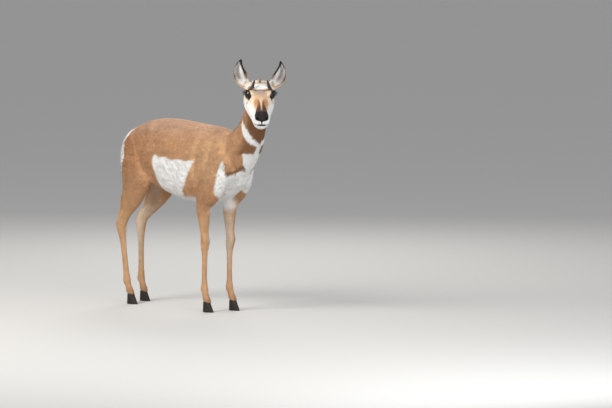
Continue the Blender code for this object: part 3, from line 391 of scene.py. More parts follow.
def ear_markings(height, across, inside):
    """The colours of an ear: pale inside with painted shade along its fold, tan behind, and a dark tip and inner rim.
    """
    colours = np.tile(np.array((0.47, 0.31, 0.19)), (len(height), 1))
    colours = paint(colours, CREAM, (1 - ramp(height, 0.2, 0.9)) * 0.35)
    hollow = inside * (1 - ramp(np.abs(across), 0.84, 0.97))
    colours = paint(colours, (0.53, 0.485, 0.445), hollow)
    # Painted shade: dark grey down the fold in the ear's hollow
    fold = band(across, 0.02, 0.40, 0.14) * band(height, 0.20, 0.74, 0.10)
    colours = paint(colours, (0.22, 0.20, 0.185), hollow * fold * 0.58)
    colours = paint(colours, WHITE, hollow * band(across, -0.60, -0.15, 0.18) * band(height, 0.05, 0.72, 0.12) * 0.7)
    colours = paint(colours, WHITE, hollow * (1 - ramp(height, 0.05, 0.30)) * 0.8)
    # The inner rim is black from the tip down and brown below
    rim_at = np.interp(height, (0.30, 0.55, 0.72, 0.84), (0.76, 0.68, 0.42, -0.10))
    colours = paint(colours, BROWN, ramp(-across, rim_at - 0.06, rim_at + 0.10) * band(height, 0.20, 0.42, 0.05) * 0.75)
    colours = paint(colours, BLACK, ramp(-across, rim_at - 0.06, rim_at + 0.10) * ramp(height, 0.36, 0.44) * 0.95)
    colours = paint(colours, BROWN, ramp(across, 0.74, 0.90) * ramp(height, 0.02, 0.25) * 0.90)
    colours = paint(colours, DARK, ramp(across, 0.35, 0.75) * ramp(height, 0.66, 0.80) * 0.85)
    return paint(colours, BLACK, ramp(height, 0.83, 0.92) * 0.96)


def markings(places, normals):
    """The colour of every place of the skin or the coat."""
    colours = body_markings(places)
    in_the_head = head_share(places)
    colours = colours + (head_markings(places, colours) - colours) * in_the_head[:, None]
    on_ear, height, across = ear_measures(places)
    facing = normals @ (np.array(head_turn) @ EAR_FORWARD)
    ears = ear_markings(height, across, ramp(facing, -0.05, 0.20))
    return np.where(on_ear[:, None], ears, colours)


HEAD_CUT = Vector((0.3091, 0.0126, 1.035))
HEAD_CUT_NORMAL = Vector((0.563, -0.389, 0.729))


def beyond_cut(places):
    """How far a place lies past the plane between neck and head."""
    return (places - np.array(HEAD_CUT)) @ np.array(HEAD_CUT_NORMAL.normalized())


def head_share(places):
    """1 on the head and 0 on the neck."""
    return ramp(beyond_cut(places), -0.006, 0.006)


# The skin
# One closed surface over the whole animal. Copies of the flesh are swelled a little so that they meet,
# wrapped as one, smoothed, and shaped with the muscles, the lids and the nostrils.
FLESH = ["torso", "neck", "head", "tail", "foreleg_left", "foreleg_right", "hindleg_left", "hindleg_right",
         "ear_left", "ear_right"]
SWELL = 0.00025
SKIN_VOXEL = 0.0021
SKIN_TRIANGLES = 190000
LID_BALL = 0.0026


def link(name, mesh):
    """Puts a mesh in the scene as an object."""
    obj = bpy.data.objects.new(name, mesh)
    bpy.context.scene.collection.objects.link(obj)
    return obj


def mesh_of(name, bm):
    """Turns a bmesh into a mesh."""
    mesh = bpy.data.meshes.new(name)
    bm.to_mesh(mesh)
    bm.free()
    return mesh


def evaluated(obj):
    """Keeps an object's modified shape as its mesh."""
    graph = bpy.context.evaluated_depsgraph_get()
    shape = bpy.data.meshes.new_from_object(obj.evaluated_get(graph))
    obj.modifiers.clear()
    obj.vertex_groups.clear()
    obj.data = shape


def places_of(mesh):
    """A mesh's corners as an array."""
    flat = np.empty(len(mesh.vertices) * 3)
    mesh.vertices.foreach_get("co", flat)
    return flat.reshape(-1, 3)


def normals_of(mesh):
    """A mesh's corner normals as an array."""
    flat = np.empty(len(mesh.vertices) * 3)
    mesh.vertex_normals.foreach_get("vector", flat)
    return flat.reshape(-1, 3)


def put_places(mesh, places):
    mesh.vertices.foreach_set("co", places.ravel())
    mesh.update()


def flesh_copy():
    """All the flesh in one mesh, each part swelled so that it overlaps the next, with the sockets filled."""
    joined = bmesh.new()
    for name in FLESH:
        part = bmesh.new()
        part.from_mesh(nodes[name].data)
        bmesh.ops.remove_doubles(part, verts=part.verts, dist=1e-6)
        part.normal_update()
        for vert in part.verts:
            vert.co += vert.normal * SWELL
        joined.from_mesh(mesh_of(name + "_copy", part))
    for side in SIDES:
        place = Matrix.Translation(middle_of("eye_" + side))
        bmesh.ops.create_icosphere(joined, subdivisions=4, radius=EYE_RADIUS + LID_BALL, matrix=place)
    return mesh_of("skin", joined)


def weigh(obj, name, weights):
    """A vertex group with a weight for each corner, in a hundred steps."""
    group = obj.vertex_groups.new(name=name)
    steps = np.round(weights * 100).astype(int)
    for step in np.unique(steps):
        if step:
            group.add(np.nonzero(steps == step)[0].tolist(), step / 100, "REPLACE")
    return group.name


def largest_body(mesh):
    """Drops every closed scrap but the largest body."""
    count = len(mesh.vertices)
    edges = np.empty(len(mesh.edges) * 2, int)
    mesh.edges.foreach_get("vertices", edges)
    edges = edges.reshape(-1, 2)
    label = np.arange(count)
    while True:
        low = np.minimum(label[edges[:, 0]], label[edges[:, 1]])
        new = label.copy()
        np.minimum.at(new, edges[:, 0], low)
        np.minimum.at(new, edges[:, 1], low)
        new = new[new]
        if np.array_equal(new, label):
            break
        label = new
    kept = np.bincount(label).argmax()
    if (label == kept).all():
        return
    bm = bmesh.new()
    bm.from_mesh(mesh)
    bm.verts.ensure_lookup_table()
    bmesh.ops.delete(bm, geom=[bm.verts[i] for i in np.nonzero(label != kept)[0]], context="VERTS")
    bm.to_mesh(mesh)
    bm.free()


def shape_lids(places):
    """Draws the skin back behind each eyeball and lays thin lids with a fold over it."""
    for sign in (1, -1):
        centre = eye_axes(sign)[0]
        from_eye = places - centre
        radius = np.linalg.norm(from_eye, axis=1)
        outside, up = beyond_opening(places, sign)
        steps = (-0.0012, 0.0000, 0.0008, 0.0022, 0.0045, 0.0062, 0.0085, 0.0130)
        upper = (-0.0050, -0.0006, 0.0018, 0.0026, 0.0025, 0.0010, 0.0026, 0.0036)
        lower = (-0.0050, -0.0006, 0.0012, 0.0017, 0.0017, 0.0012, 0.0018, 0.0022)
        share = ramp(up, -0.003, 0.003)
        target = EYE_RADIUS + np.interp(outside, steps, upper) * share
        target += np.interp(outside, steps, lower) * (1 - share)
        weight = (1 - ramp(outside, 0.0060, 0.0150)) * (1 - ramp(radius, EYE_RADIUS + 0.012, EYE_RADIUS + 0.022))
        shaped = radius + (target - radius) * weight
        places = centre + from_eye * (shaped / np.maximum(radius, 1e-6))[:, None]
    return places


# Muscles and bones that show under the coat: place, reach and how far they stand out, for both sides
FORM_STRENGTH = 1.4
BODY_FORMS = [
    ((0.150, 0.105, 0.740), (0.060, 0.040, 0.090), 0.0045),
    ((0.105, 0.110, 0.650), (0.045, 0.035, 0.055), 0.0040),
    ((0.055, 0.125, 0.720), (0.022, 0.040, 0.090), -0.0035),
    ((0.215, 0.080, 0.700), (0.030, 0.030, 0.030), 0.0030),
    ((-0.290, 0.095, 0.850), (0.035, 0.035, 0.028), 0.0045),
    ((-0.385, 0.110, 0.760), (0.060, 0.040, 0.080), 0.0040),
    ((-0.235, 0.120, 0.790), (0.040, 0.045, 0.055), -0.0040),
    ((-0.255, 0.110, 0.600), (0.025, 0.030, 0.045), -0.0030),
    ((-0.330, 0.100, 0.560), (0.040, 0.025, 0.060), 0.0030),
    ((-0.050, 0.135, 0.780), (0.120, 0.050, 0.035), -0.0015),
    ((-0.478, 0.095, 0.640), (0.045, 0.055, 0.050), -0.0070),
    ((0.005, 0.120, 0.600), (0.030, 0.045, 0.040), -0.0020),
]
HEAD_FORMS = [
    ((0.055, 0.060, -0.060), (0.035, 0.025, 0.030), 0.0030),
    ((0.110, 0.045, -0.015), (0.030, 0.016, 0.012), 0.0022),
    ((0.150, 0.036, -0.045), (0.040, 0.020, 0.014), -0.0022),
    ((0.125, 0.022, 0.026), (0.045, 0.008, 0.012), 0.0012),
    ((0.100, 0.000, 0.030), (0.040, 0.012, 0.012), -0.0015),
    ((0.018, 0.048, 0.014), (0.022, 0.014, 0.014), -0.0020),
    ((0.225, 0.021, -0.004), (0.012, 0.010, 0.010), 0.0016),
    ((0.215, 0.032, -0.030), (0.020, 0.010, 0.009), 0.0014),
    ((0.238, 0.000, -0.052), (0.014, 0.018, 0.010), 0.0014),
]


def forms(places, list_of_forms, out):
    """The sum of the rounded forms at each place."""
    total = np.zeros(len(places))
    for centre, reach, height in list_of_forms:
        offset = np.stack([places[:, 0] - centre[0], out - centre[1], places[:, 2] - centre[2]], axis=1)
        total += height * np.exp(-((offset / reach) ** 2).sum(axis=1))
    return total


def leg_forms(places):
    """The knees, hocks and fetlocks, and the grooves in front of the tendons, on each leg's own middle line."""
    total = np.zeros(len(places))
    heights = np.arange(0.05, 0.50, 0.015)
    for fore in (True, False):
        for side, sign in SIDES.items():
            leg = (places[:, 2] < 0.50) & ((places[:, 0] > 0) == fore) & (np.sign(places[:, 1] - midline) == sign)
            rows = np.nonzero(leg)[0]
            x, y, z = places[rows].T
            edges = []
            for height in heights:
                near = np.abs(z - height) < 0.006
                edges.append((x[near].min(), x[near].max(), y[near].min(), y[near].max()))
            back, front, low, high = (np.interp(z, heights, column) for column in np.array(edges).T)
            ahead = (x - (front + back) / 2) / (front - back) * 2
            beside = np.abs(y - (high + low) / 2) / (high - low) * 2
            lift = -0.0016 * np.exp(-(((ahead + 0.25) / 0.20) ** 2)) * ramp(beside, 0.3, 0.8) * band(z, 0.13, 0.28, 0.02)
            lift += 0.0022 * np.exp(-(((z - 0.104) / 0.014) ** 2)) * ramp(-ahead, -0.2, 0.6)
            if fore:
                lift += 0.0030 * np.exp(-(((z - 0.330) / 0.020) ** 2)) * ramp(ahead, 0.0, 0.7)
                lift += 0.0016 * np.exp(-(((z - 0.302) / 0.010) ** 2)) * ramp(beside, 0.3, 0.8)
                lift -= 0.0016 * np.exp(-(((z - 0.375) / 0.022) ** 2)) * ramp(ahead, 0.1, 0.8)
                lift += 0.0016 * np.exp(-(((z - 0.322) / 0.010) ** 2)) * ramp(-ahead, 0.2, 0.8)
            else:
                lift += 0.0034 * np.exp(-(((z - 0.382) / 0.018) ** 2)) * ramp(-ahead, 0.3, 0.9)
                lift += 0.0018 * np.exp(-(((z - 0.345) / 0.020) ** 2)) * ramp(beside, 0.3, 0.8)
                hollow = np.exp(-(((ahead + 0.42) / 0.22) ** 2)) * ramp(beside, 0.2, 0.7)
                lift -= 0.0042 * hollow * band(z, 0.402, 0.470, 0.016)
            total[rows] = lift
    return total


# How far the top of the head may rise, as the camera sees it, from the middle out
CROWN_SIDES = (0.0, 0.030, 0.055)
CROWN_RISES = (0.0235, 0.0225, 0.0130)
CROWN_WAY = (-0.643, 0.0, 0.766)


def press_crown(places):
    """Brings the skin of the crown and the nape behind it down under their longer hair."""
    measured = head_of(places)
    side = np.abs(measured[:, 1])
    over = measured @ np.array(CROWN_WAY) - np.interp(side, CROWN_SIDES, CROWN_RISES)
    over = np.maximum(0.0, over) * (1 - ramp(side, 0.046, 0.060)) * ramp(measured[:, 0], -0.11, -0.05)
    way = np.array(head_turn) @ np.array(CROWN_WAY)
    return places - way * (over * ramp(measured[:, 2], -0.04, 0.0))[:, None] * 0.92


def press_nape(places):
    """Takes the stubs of the mane's locks off the skin of the nape, height by height."""
    heights = np.arange(0.87, 1.04, 0.010)
    offset = np.stack([places[:, 0] - np.interp(places[:, 2], (0.760, 1.005), (0.246, 0.365)),
                       places[:, 1] - np.interp(places[:, 2], (0.892, 1.005), (0.0096, -0.0024))], axis=1)
    far = np.linalg.norm(offset, axis=1)
    behind = (np.abs(neck_angle(places)) > 150) & (places[:, 0] > 0.15) & (beyond_cut(places) < 0.004)
    usual = []
    for height in heights:
        near = far[behind & (np.abs(places[:, 2] - height) < 0.008)]
        usual.append(np.median(near) if len(near) else 1.0)
    limit = np.interp(places[:, 2], heights, usual) + 0.0025
    over = np.maximum(0.0, far - limit) * behind * ramp(places[:, 2], 0.88, 0.91)
    shift = offset / np.maximum(far, 1e-6)[:, None] * over[:, None]
    return places - np.column_stack([shift, np.zeros(len(places))])


def brow_folds(measured):
    """Fine folds across the forehead between the eyes and round the corners of the mouth."""
    along, side, up = measured.T
    out = np.abs(side)
    wave = np.sin((along + 0.35 * out) * 6.283 / 0.0090)
    brow = band(along, 0.070, 0.096, 0.008) * (1 - ramp(out, 0.014, 0.034)) * ramp(up, 0.005, 0.015) * 0.6
    cheek = band(along, 0.105, 0.128, 0.006) * band(out, 0.030, 0.052, 0.005) * ramp(up, -0.020, -0.005)
    return wave * 0.0005 * (brow + 0.7 * cheek)


def coat_depth(places):
    """How deep the coat is over the skin: deepest on the rump and chest, thin on legs, face and ears."""
    depth = 0.0035 + 0.0025 * ramp(places[:, 2], 0.52, 0.64)
    depth = depth * ramp(places[:, 2], 0.40, 0.56) + 0.0012 * (1 - ramp(places[:, 2], 0.40, 0.56))
    depth = depth + (0.0012 - depth) * ramp(beyond_cut(places), -0.080, 0.020)
    on_ear = ear_measures(places)[0]
    depth = np.where(on_ear, 0.0004, depth)
    for sign in (1, -1):
        near = np.linalg.norm(places - eye_axes(sign)[0], axis=1)
        depth = depth * ramp(near, EYE_RADIUS + 0.002, EYE_RADIUS + 0.016)
    along, side, up = head_of(places).T
    muzzle = ramp(along, 0.190, 0.210) * head_share(places)
    return depth * (1 - muzzle * 0.7)


def refine(mesh, wanted):
    """Splits the faces whose corners are all wanted."""
    bm = bmesh.new()
    bm.from_mesh(mesh)
    bm.verts.ensure_lookup_table()
    chosen = np.zeros(len(bm.verts), bool)
    chosen[wanted] = True
    edges = [edge for edge in bm.edges if chosen[edge.verts[0].index] and chosen[edge.verts[1].index]]
    bmesh.ops.subdivide_edges(bm, edges=edges, cuts=1, use_grid_fill=True, smooth=0.0)
    bm.to_mesh(mesh)
    bm.free()


def grow_skin():
    """Makes the skin's object."""
    skin = link("skin", flesh_copy())
    wrap = skin.modifiers.new("Wrap", "REMESH")
    wrap.mode = "VOXEL"
    wrap.voxel_size = SKIN_VOXEL
    evaluated(skin)
    largest_body(skin.data)
    places = places_of(skin.data)
    on_ear = ear_measures(places)[0]
    head = head_share(places)
    height = places[:, 2]
    amount = (0.10 + 0.90 * ramp(height, 0.40, 0.56)) * (1 - head) + 0.10 * head
    crown = head * ramp(head_of(places)[:, 2], -0.01, 0.02) * (1 - ramp(head_of(places)[:, 0], 0.03, 0.05))
    amount = np.maximum(amount, crown * 0.9)
    amount = np.where(on_ear, 0.05, amount)
    blend = skin.modifiers.new("Blend", "SMOOTH")
    blend.factor = 0.5
    blend.iterations = 70
    blend.vertex_group = weigh(skin, "Blend", amount)
    passage = (1 - ramp(np.abs(beyond_cut(places) + 0.004), 0.014, 0.050)) * (1 - on_ear)
    nape = ramp(np.abs(neck_angle(places)), 140, 160) * ramp(height, 0.86, 0.92) * (1 - head) * (places[:, 0] > 0.15)
    join = skin.modifiers.new("Join", "SMOOTH")
    join.factor = 0.6
    join.iterations = 170
    join.vertex_group = weigh(skin, "Join", np.maximum(passage, nape))
    evaluated(skin)
    places = places_of(skin.data)
    near = np.zeros(len(places), bool)
    for sign in (1, -1):
        near |= np.linalg.norm(places - eye_axes(sign)[0], axis=1) < EYE_RADIUS + 0.014
    along = head_of(places)[:, 0]
    near |= (along > 0.185) & (head_share(places) > 0.9)
    refine(skin.data, near)
    mesh = skin.data
    places = places_of(mesh)
    normals = normals_of(mesh)
    out = np.abs(places[:, 1] - midline)
    head = head_share(places)
    lift = forms(places, BODY_FORMS, out) * (1 - head) * FORM_STRENGTH + leg_forms(places)
    measured = head_of(places)
    lift += forms(measured, HEAD_FORMS, np.abs(measured[:, 1])) * head * (1 - ear_measures(places)[0])
    pad, nostril, groove, mouth = muzzle_marks(places)
    lift += pad * 0.0008 - nostril * 0.0024 - groove * 0.0011 - mouth * 0.0015
    lift += brow_folds(measured) * head
    places = places + normals * (lift - coat_depth(places))[:, None]
    places = shape_lids(press_nape(press_crown(places)))
    put_places(mesh, places)
    triangles = len(mesh.loops) - 2 * len(mesh.polygons)
    kept = head * ramp(measured[:, 0], 0.190, 0.200)
    for sign in (1, -1):
        near = np.linalg.norm(places - eye_axes(sign)[0], axis=1)
        kept = np.maximum(kept, 1 - ramp(near, EYE_RADIUS + 0.010, EYE_RADIUS + 0.018))
    thin = skin.modifiers.new("Thin", "DECIMATE")
    thin.ratio = min(1.0, SKIN_TRIANGLES / triangles)
    thin.vertex_group = weigh(skin, "Thin", 1 - kept)
    evaluated(skin)
    skin.data.shade_smooth()
    return skin


def colour_map(mesh, name, colours):
    """Keeps a colour for each corner of a mesh."""
    layer = mesh.color_attributes.new(name, "FLOAT_COLOR", "POINT")
    full = np.ones((len(mesh.vertices), 4))
    full[:, :3] = colours
    layer.data.foreach_set("color", full.ravel())


def hair_grain():
    """A node group that gives the fine streaky shade and unevenness of short hair."""
    group = bpy.data.node_groups.new("Hair grain", "ShaderNodeTree")
    group.interface.new_socket("Colour", in_out="INPUT", socket_type="NodeSocketColor")
    group.interface.new_socket("Scale", in_out="INPUT", socket_type="NodeSocketFloat")
    group.interface.new_socket("Colour", in_out="OUTPUT", socket_type="NodeSocketColor")
    group.interface.new_socket("Height", in_out="OUTPUT", socket_type="NodeSocketFloat")
    tree = group.nodes
    links = group.links
    start = tree.new("NodeGroupInput")
    end = tree.new("NodeGroupOutput")
    place = tree.new("ShaderNodeTexCoord")
    fine = tree.new("ShaderNodeTexNoise")
    fine.inputs["Detail"].default_value = 3.0
    fine.inputs["Roughness"].default_value = 0.65
    broad = tree.new("ShaderNodeTexNoise")
    broad.inputs["Scale"].default_value = 28.0
    broad.inputs["Detail"].default_value = 2.0
    links.new(place.outputs["Object"], fine.inputs["Vector"])
    links.new(place.outputs["Object"], broad.inputs["Vector"])
    links.new(start.outputs["Scale"], fine.inputs["Scale"])
    shade = tree.new("ShaderNodeMapRange")
    shade.inputs["From Min"].default_value = 0.3
    shade.inputs["From Max"].default_value = 0.7
    shade.inputs["To Min"].default_value = 0.85
    shade.inputs["To Max"].default_value = 1.10
    links.new(fine.outputs["Fac"], shade.inputs["Value"])
    tone = tree.new("ShaderNodeMapRange")
    tone.inputs["From Min"].default_value = 0.3
    tone.inputs["From Max"].default_value = 0.7
    tone.inputs["To Min"].default_value = 0.90
    tone.inputs["To Max"].default_value = 1.07
    links.new(broad.outputs["Fac"], tone.inputs["Value"])
    both = tree.new("ShaderNodeMath")
    both.operation = "MULTIPLY"
    links.new(shade.outputs["Result"], both.inputs[0])
    links.new(tone.outputs["Result"], both.inputs[1])
    mix = tree.new("ShaderNodeVectorMath")
    mix.operation = "SCALE"
    links.new(start.outputs["Colour"], mix.inputs[0])
    links.new(both.outputs["Value"], mix.inputs["Scale"])
    links.new(mix.outputs["Vector"], end.inputs["Colour"])
    links.new(fine.outputs["Fac"], end.inputs["Height"])
    return group


hair_grain_group = hair_grain()


def hair_finish(name, roughness, scale, bump, sheen):
    """A material with the markings' colour and the hair grain's unevenness, glossier where the skin is bare."""
    material = bpy.data.materials.new(name)
    material.use_nodes = True
    tree = material.node_tree.nodes
    links = material.node_tree.links
    shader = tree["Principled BSDF"]
    shader.inputs["Roughness"].default_value = roughness
    shader.inputs["Specular IOR Level"].default_value = 0.14
    shader.inputs["Sheen Weight"].default_value = sheen
    shader.inputs["Sheen Roughness"].default_value = 0.6
    colour = tree.new("ShaderNodeAttribute")
    colour.attribute_name = "Markings"
    grain = tree.new("ShaderNodeGroup")
    grain.node_tree = hair_grain_group
    grain.inputs["Scale"].default_value = scale
    relief = tree.new("ShaderNodeBump")
    relief.inputs["Strength"].default_value = bump
    relief.inputs["Distance"].default_value = 0.001
    links.new(colour.outputs["Color"], grain.inputs["Colour"])
    links.new(grain.outputs["Colour"], shader.inputs["Base Color"])
    links.new(relief.outputs["Normal"], shader.inputs["Normal"])
    bare = tree.new("ShaderNodeAttribute")
    bare.attribute_name = "Bare"
    place = tree.new("ShaderNodeTexCoord")
    pebbles = tree.new("ShaderNodeTexVoronoi")
    pebbles.inputs["Scale"].default_value = 620.0
    links.new(place.outputs["Object"], pebbles.inputs["Vector"])
    height = tree.new("ShaderNodeMix")
    links.new(bare.outputs["Fac"], height.inputs["Factor"])
    links.new(grain.outputs["Height"], height.inputs["A"])
    links.new(pebbles.outputs["Distance"], height.inputs["B"])
    links.new(height.outputs["Result"], relief.inputs["Height"])
    gloss = tree.new("ShaderNodeMapRange")
    gloss.inputs["To Min"].default_value = roughness
    gloss.inputs["To Max"].default_value = 0.40
    links.new(bare.outputs["Fac"], gloss.inputs["Value"])
    links.new(gloss.outputs["Result"], shader.inputs["Roughness"])
    return material


def bare_map(mesh, places):
    """Keeps how bare each corner is: the nose, the line of the mouth and the rims of the lids."""
    pad, nostril, groove, mouth = muzzle_marks(places)
    bare = np.clip(pad + nostril + groove + mouth, 0, 1)
    for sign in (1, -1):
        centre, look, level, rise = eye_axes(sign)
        near = np.linalg.norm(places - centre, axis=1)
        bare = np.maximum(bare, 1 - ramp(near, EYE_RADIUS + 0.002, EYE_RADIUS + 0.004))
    layer = mesh.attributes.new("Bare", "FLOAT", "POINT")
    layer.data.foreach_set("value", bare)


skin = grow_skin()
skin_places = places_of(skin.data)
skin_normals = normals_of(skin.data)
# The skin is painted a tenth darker than the coat's colours, as painted shade under the hair
colour_map(skin.data, "Markings", markings(skin_places, skin_normals) * 0.90)
bare_map(skin.data, skin_places)
skin.data.materials.append(hair_finish("Short hair", 0.85, 420.0, 0.5, 0.03))
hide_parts(*FLESH)
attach(skin, "root")

# The eyes
# Each eye is a glass ball set behind the lids, near black, with a slightly domed front and a level oval
# pupil.
PUPIL_HALF_LENGTH = 0.0075
PUPIL_HALF_HEIGHT = 0.0048
IRIS_RADIUS = 0.0135
DOME_RISE = 0.0009


def make_eye(side, sign):
    """One eyeball with its colours kept on its corners."""
    centre, look, level, rise = eye_axes(sign)
    turn = Matrix((Vector(level), Vector(look).cross(Vector(level)), Vector(look))).transposed().to_4x4()
    ball = bmesh.new()
    bmesh.ops.create_uvsphere(
        ball,
        u_segments=72,
        v_segments=56,
        radius=EYE_RADIUS,
        matrix=Matrix.Translation(Vector(centre)) @ turn,
    )
    mesh = mesh_of("eyeball_" + side, ball)
    places = places_of(mesh)
    offset = places - centre
    across, up = offset @ level, offset @ rise
    front = np.where(offset @ look > 0, 1.0, 0.0)
    from_axis = np.hypot(across, up)
    dome = front * (1 - ramp(from_axis, 0.004, 0.0155)) * DOME_RISE
    put_places(mesh, places + offset / EYE_RADIUS * dome[:, None])
    colours = np.tile(np.array((0.006, 0.004, 0.004)), (len(places), 1))
    colours = paint(colours, (0.009, 0.005, 0.004), front * (1 - ramp(from_axis, IRIS_RADIUS - 0.002, IRIS_RADIUS)))
    pupil = np.hypot(across / PUPIL_HALF_LENGTH, up / PUPIL_HALF_HEIGHT)
    colours = paint(colours, (0.002, 0.002, 0.003), front * (1 - ramp(pupil, 0.90, 1.10)))
    colour_map(mesh, "Markings", colours)
    mesh.shade_smooth()
    return link("eyeball_" + side, mesh)


def eye_finish():
    """Dark glass: the iris has faint streaks, and a clear coat lies over it all."""
    material = bpy.data.materials.new("Dark eye")
    material.use_nodes = True
    tree = material.node_tree.nodes
    links = material.node_tree.links
    shader = tree["Principled BSDF"]
    shader.inputs["Roughness"].default_value = 0.20
    shader.inputs["Specular IOR Level"].default_value = 0.15
    shader.inputs["Coat Weight"].default_value = 0.45
    shader.inputs["Coat Roughness"].default_value = 0.03
    colour = tree.new("ShaderNodeAttribute")
    colour.attribute_name = "Markings"
    grain = tree.new("ShaderNodeGroup")
    grain.node_tree = hair_grain_group
    grain.inputs["Scale"].default_value = 900.0
    links.new(colour.outputs["Color"], grain.inputs["Colour"])
    links.new(grain.outputs["Colour"], shader.inputs["Base Color"])
    return material


dark_eye = eye_finish()
for side, sign in SIDES.items():
    eyeball = make_eye(side, sign)
    eyeball.data.materials.append(dark_eye)
    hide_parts("eye_" + side)
    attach(eyeball, "root")

# The horns
# A doe's short horns: blunt black sheaths over a bony core, rough and ringed near the root and worn
# smooth at the tip.
HORN_LENGTH = 0.047
HORN_PROFILE_SHARES = (-0.02, 0.06, 0.14, 0.34, 0.56, 0.78, 0.93, 1.0)
HORN_PROFILE_RADII = (0.0102, 0.0100, 0.0088, 0.0076, 0.0062, 0.0047, 0.0032, 0.0012)
HORN_RINGS = 40
HORN_SIDES = 28


def loft(name, rings):
    """One closed body that runs through the rings of points."""
    bm = bmesh.new()
    start = bmesh.ops.create_circle(bm, cap_ends=True, segments=len(rings[0]), radius=1.0)["verts"]
    face = start[0].link_faces[0]
    for vert, point in zip(face.verts, rings[0]):
        vert.co = point
    for ring in rings[1:]:
        face = bmesh.ops.extrude_discrete_faces(bm, faces=[face])["faces"][0]
        for vert, point in zip(face.verts, ring):
            vert.co = point
    bmesh.ops.holes_fill(bm, edges=[edge for edge in bm.edges if edge.is_boundary])
    bmesh.ops.recalc_face_normals(bm, faces=bm.faces)
    mesh = mesh_of(name, bm)
    mesh.shade_smooth()
    return link(name, mesh)


def make_horn(side, sign):
    """One horn from its root over the eye to its blunt tip."""
    random = np.random.default_rng(40 + sign)
    base = in_head(0.063, 0.0425 * sign + 0.0030, 0.0265)
    way = (head_turn @ Vector((-0.0300, -0.0140 * sign, 0.0390))).normalized()
    across = way.orthogonal().normalized()
    other = way.cross(across)
    flutes = random.uniform(-1, 1, HORN_SIDES)
    rings = []
    for share in np.linspace(HORN_PROFILE_SHARES[0], 1.0, HORN_RINGS):
        radius = np.interp(share, HORN_PROFILE_SHARES, HORN_PROFILE_RADII)
        rough = 1 - ramp(share, 0.35, 0.85)
        radius *= 1 + 0.035 * math.sin(share * 58) * rough
        centre = base + way * (HORN_LENGTH * float(share))
        ring = []
        for k in range(HORN_SIDES):
            angle = k * 2 * math.pi / HORN_SIDES
            size = radius * (1 + 0.035 * flutes[k] * rough)
            ring.append(centre + across * (math.cos(angle) * size) + other * (math.sin(angle) * size))
        rings.append(ring)
    return loft("horn_sheath_" + side, rings)


def worn_finish(name, dark, light, scale, stretch, roughness, bump):
    """Horn or hoof: two tones in streaks, with a fine rough surface."""
    material = bpy.data.materials.new(name)
    material.use_nodes = True
    tree = material.node_tree.nodes
    links = material.node_tree.links
    shader = tree["Principled BSDF"]
    shader.inputs["Roughness"].default_value = roughness
    shader.inputs["Specular IOR Level"].default_value = 0.22
    place = tree.new("ShaderNodeTexCoord")
    turn = tree.new("ShaderNodeMapping")
    turn.inputs["Scale"].default_value = stretch
    streaks = tree.new("ShaderNodeTexNoise")
    streaks.inputs["Scale"].default_value = scale
    streaks.inputs["Detail"].default_value = 4.0
    tones = tree.new("ShaderNodeValToRGB")
    tones.color_ramp.elements[0].position = 0.35
    tones.color_ramp.elements[0].color = (*dark, 1.0)
    tones.color_ramp.elements[1].position = 0.72
    tones.color_ramp.elements[1].color = (*light, 1.0)
    relief = tree.new("ShaderNodeBump")
    relief.inputs["Strength"].default_value = bump
    relief.inputs["Distance"].default_value = 0.0008
    links.new(place.outputs["Object"], turn.inputs["Vector"])
    links.new(turn.outputs["Vector"], streaks.inputs["Vector"])
    links.new(streaks.outputs["Fac"], tones.inputs["Fac"])
    links.new(tones.outputs["Color"], shader.inputs["Base Color"])
    links.new(streaks.outputs["Fac"], relief.inputs["Height"])
    links.new(relief.outputs["Normal"], shader.inputs["Normal"])
    return material


black_horn = worn_finish("Black horn", (0.010, 0.008, 0.007), (0.060, 0.034, 0.022), 210.0, (1, 1, 1), 0.48, 0.6)
for side, sign in SIDES.items():
    sheath = make_horn(side, sign)
    sheath.data.materials.append(black_horn)
    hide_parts("horn_" + side)
    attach(sheath, "root")

# The hooves
# Two pointed black claws on each foot, rounded outside and nearly flat where they face each other, with
# fine rings of growth round the wall and a bevelled sole edge.
HOOF_LENGTH = 0.060
HOOF_HALF_WIDTH = 0.0205
HOOF_RINGS = 26
HOOF_OUTLINE = [(0.96, 0.10), (0.80, 0.32), (0.50, 0.66), (0.10, 0.92), (-0.35, 1.00), (-0.75, 0.86),
                (-0.96, 0.52), (-1.00, 0.12), (-0.60, 0.06), (0.00, 0.05), (0.50, 0.055)]
HOOF_HEIGHTS = (0.0, 0.003, 0.020, 0.036, 0.052)
HOOF_SHARES = (0.97, 1.0, 0.93, 0.84, 0.74)
HOOF_LEANS = (0.0, 0.0, -0.007, -0.014, -0.020)


def rounded(outline, steps):
    """More points on a closed outline, on a smooth curve through its corners."""
    corners = np.array(outline)
    count = len(corners)
    points = []
    for k in range(count):
        a, b, c, d = (corners[(k + shift) % count] for shift in (-1, 0, 1, 2))
        for step in range(steps):
            t = step / steps
            points.append(0.5 * (2 * b + (c - a) * t + (2 * a - 5 * b + 4 * c - d) * t**2
                                 + (3 * b - a - 3 * c + d) * t**3))
    return points


def make_claw(node):
    """One claw in the place of its node."""
    low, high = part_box(node)
    left = node.split("_")[2] == "left"
    outer = node.endswith("outer")
    sign = (1 if left else -1) * (1 if outer else -1)
    middle_x = low[0] + HOOF_LENGTH / 2
    inner_y = low[1] if sign > 0 else high[1]
    middle_y = inner_y - sign * HOOF_HALF_WIDTH * 0.05
    outline = rounded(HOOF_OUTLINE, 4)
    rings = []
    for height in np.concatenate([[0.0, 0.0008, 0.002], np.linspace(0.004, 0.050, HOOF_RINGS)]):
        share = np.interp(height, HOOF_HEIGHTS, HOOF_SHARES)
        lean = np.interp(height, HOOF_HEIGHTS, HOOF_LEANS)
        wall = share * (1 + 0.010 * math.sin(height * 1450)) if height > 0.004 else share
        ring = []
        for along, out in outline:
            x = middle_x + HOOF_LENGTH / 2 * along * wall + lean * (0.6 + 0.4 * along)
            y = middle_y + sign * HOOF_HALF_WIDTH * out * (0.55 + 0.45 * wall)
            ring.append(Vector((x, y, height)))
        rings.append(ring)
    return loft(node.replace("hoof", "claw"), rings)


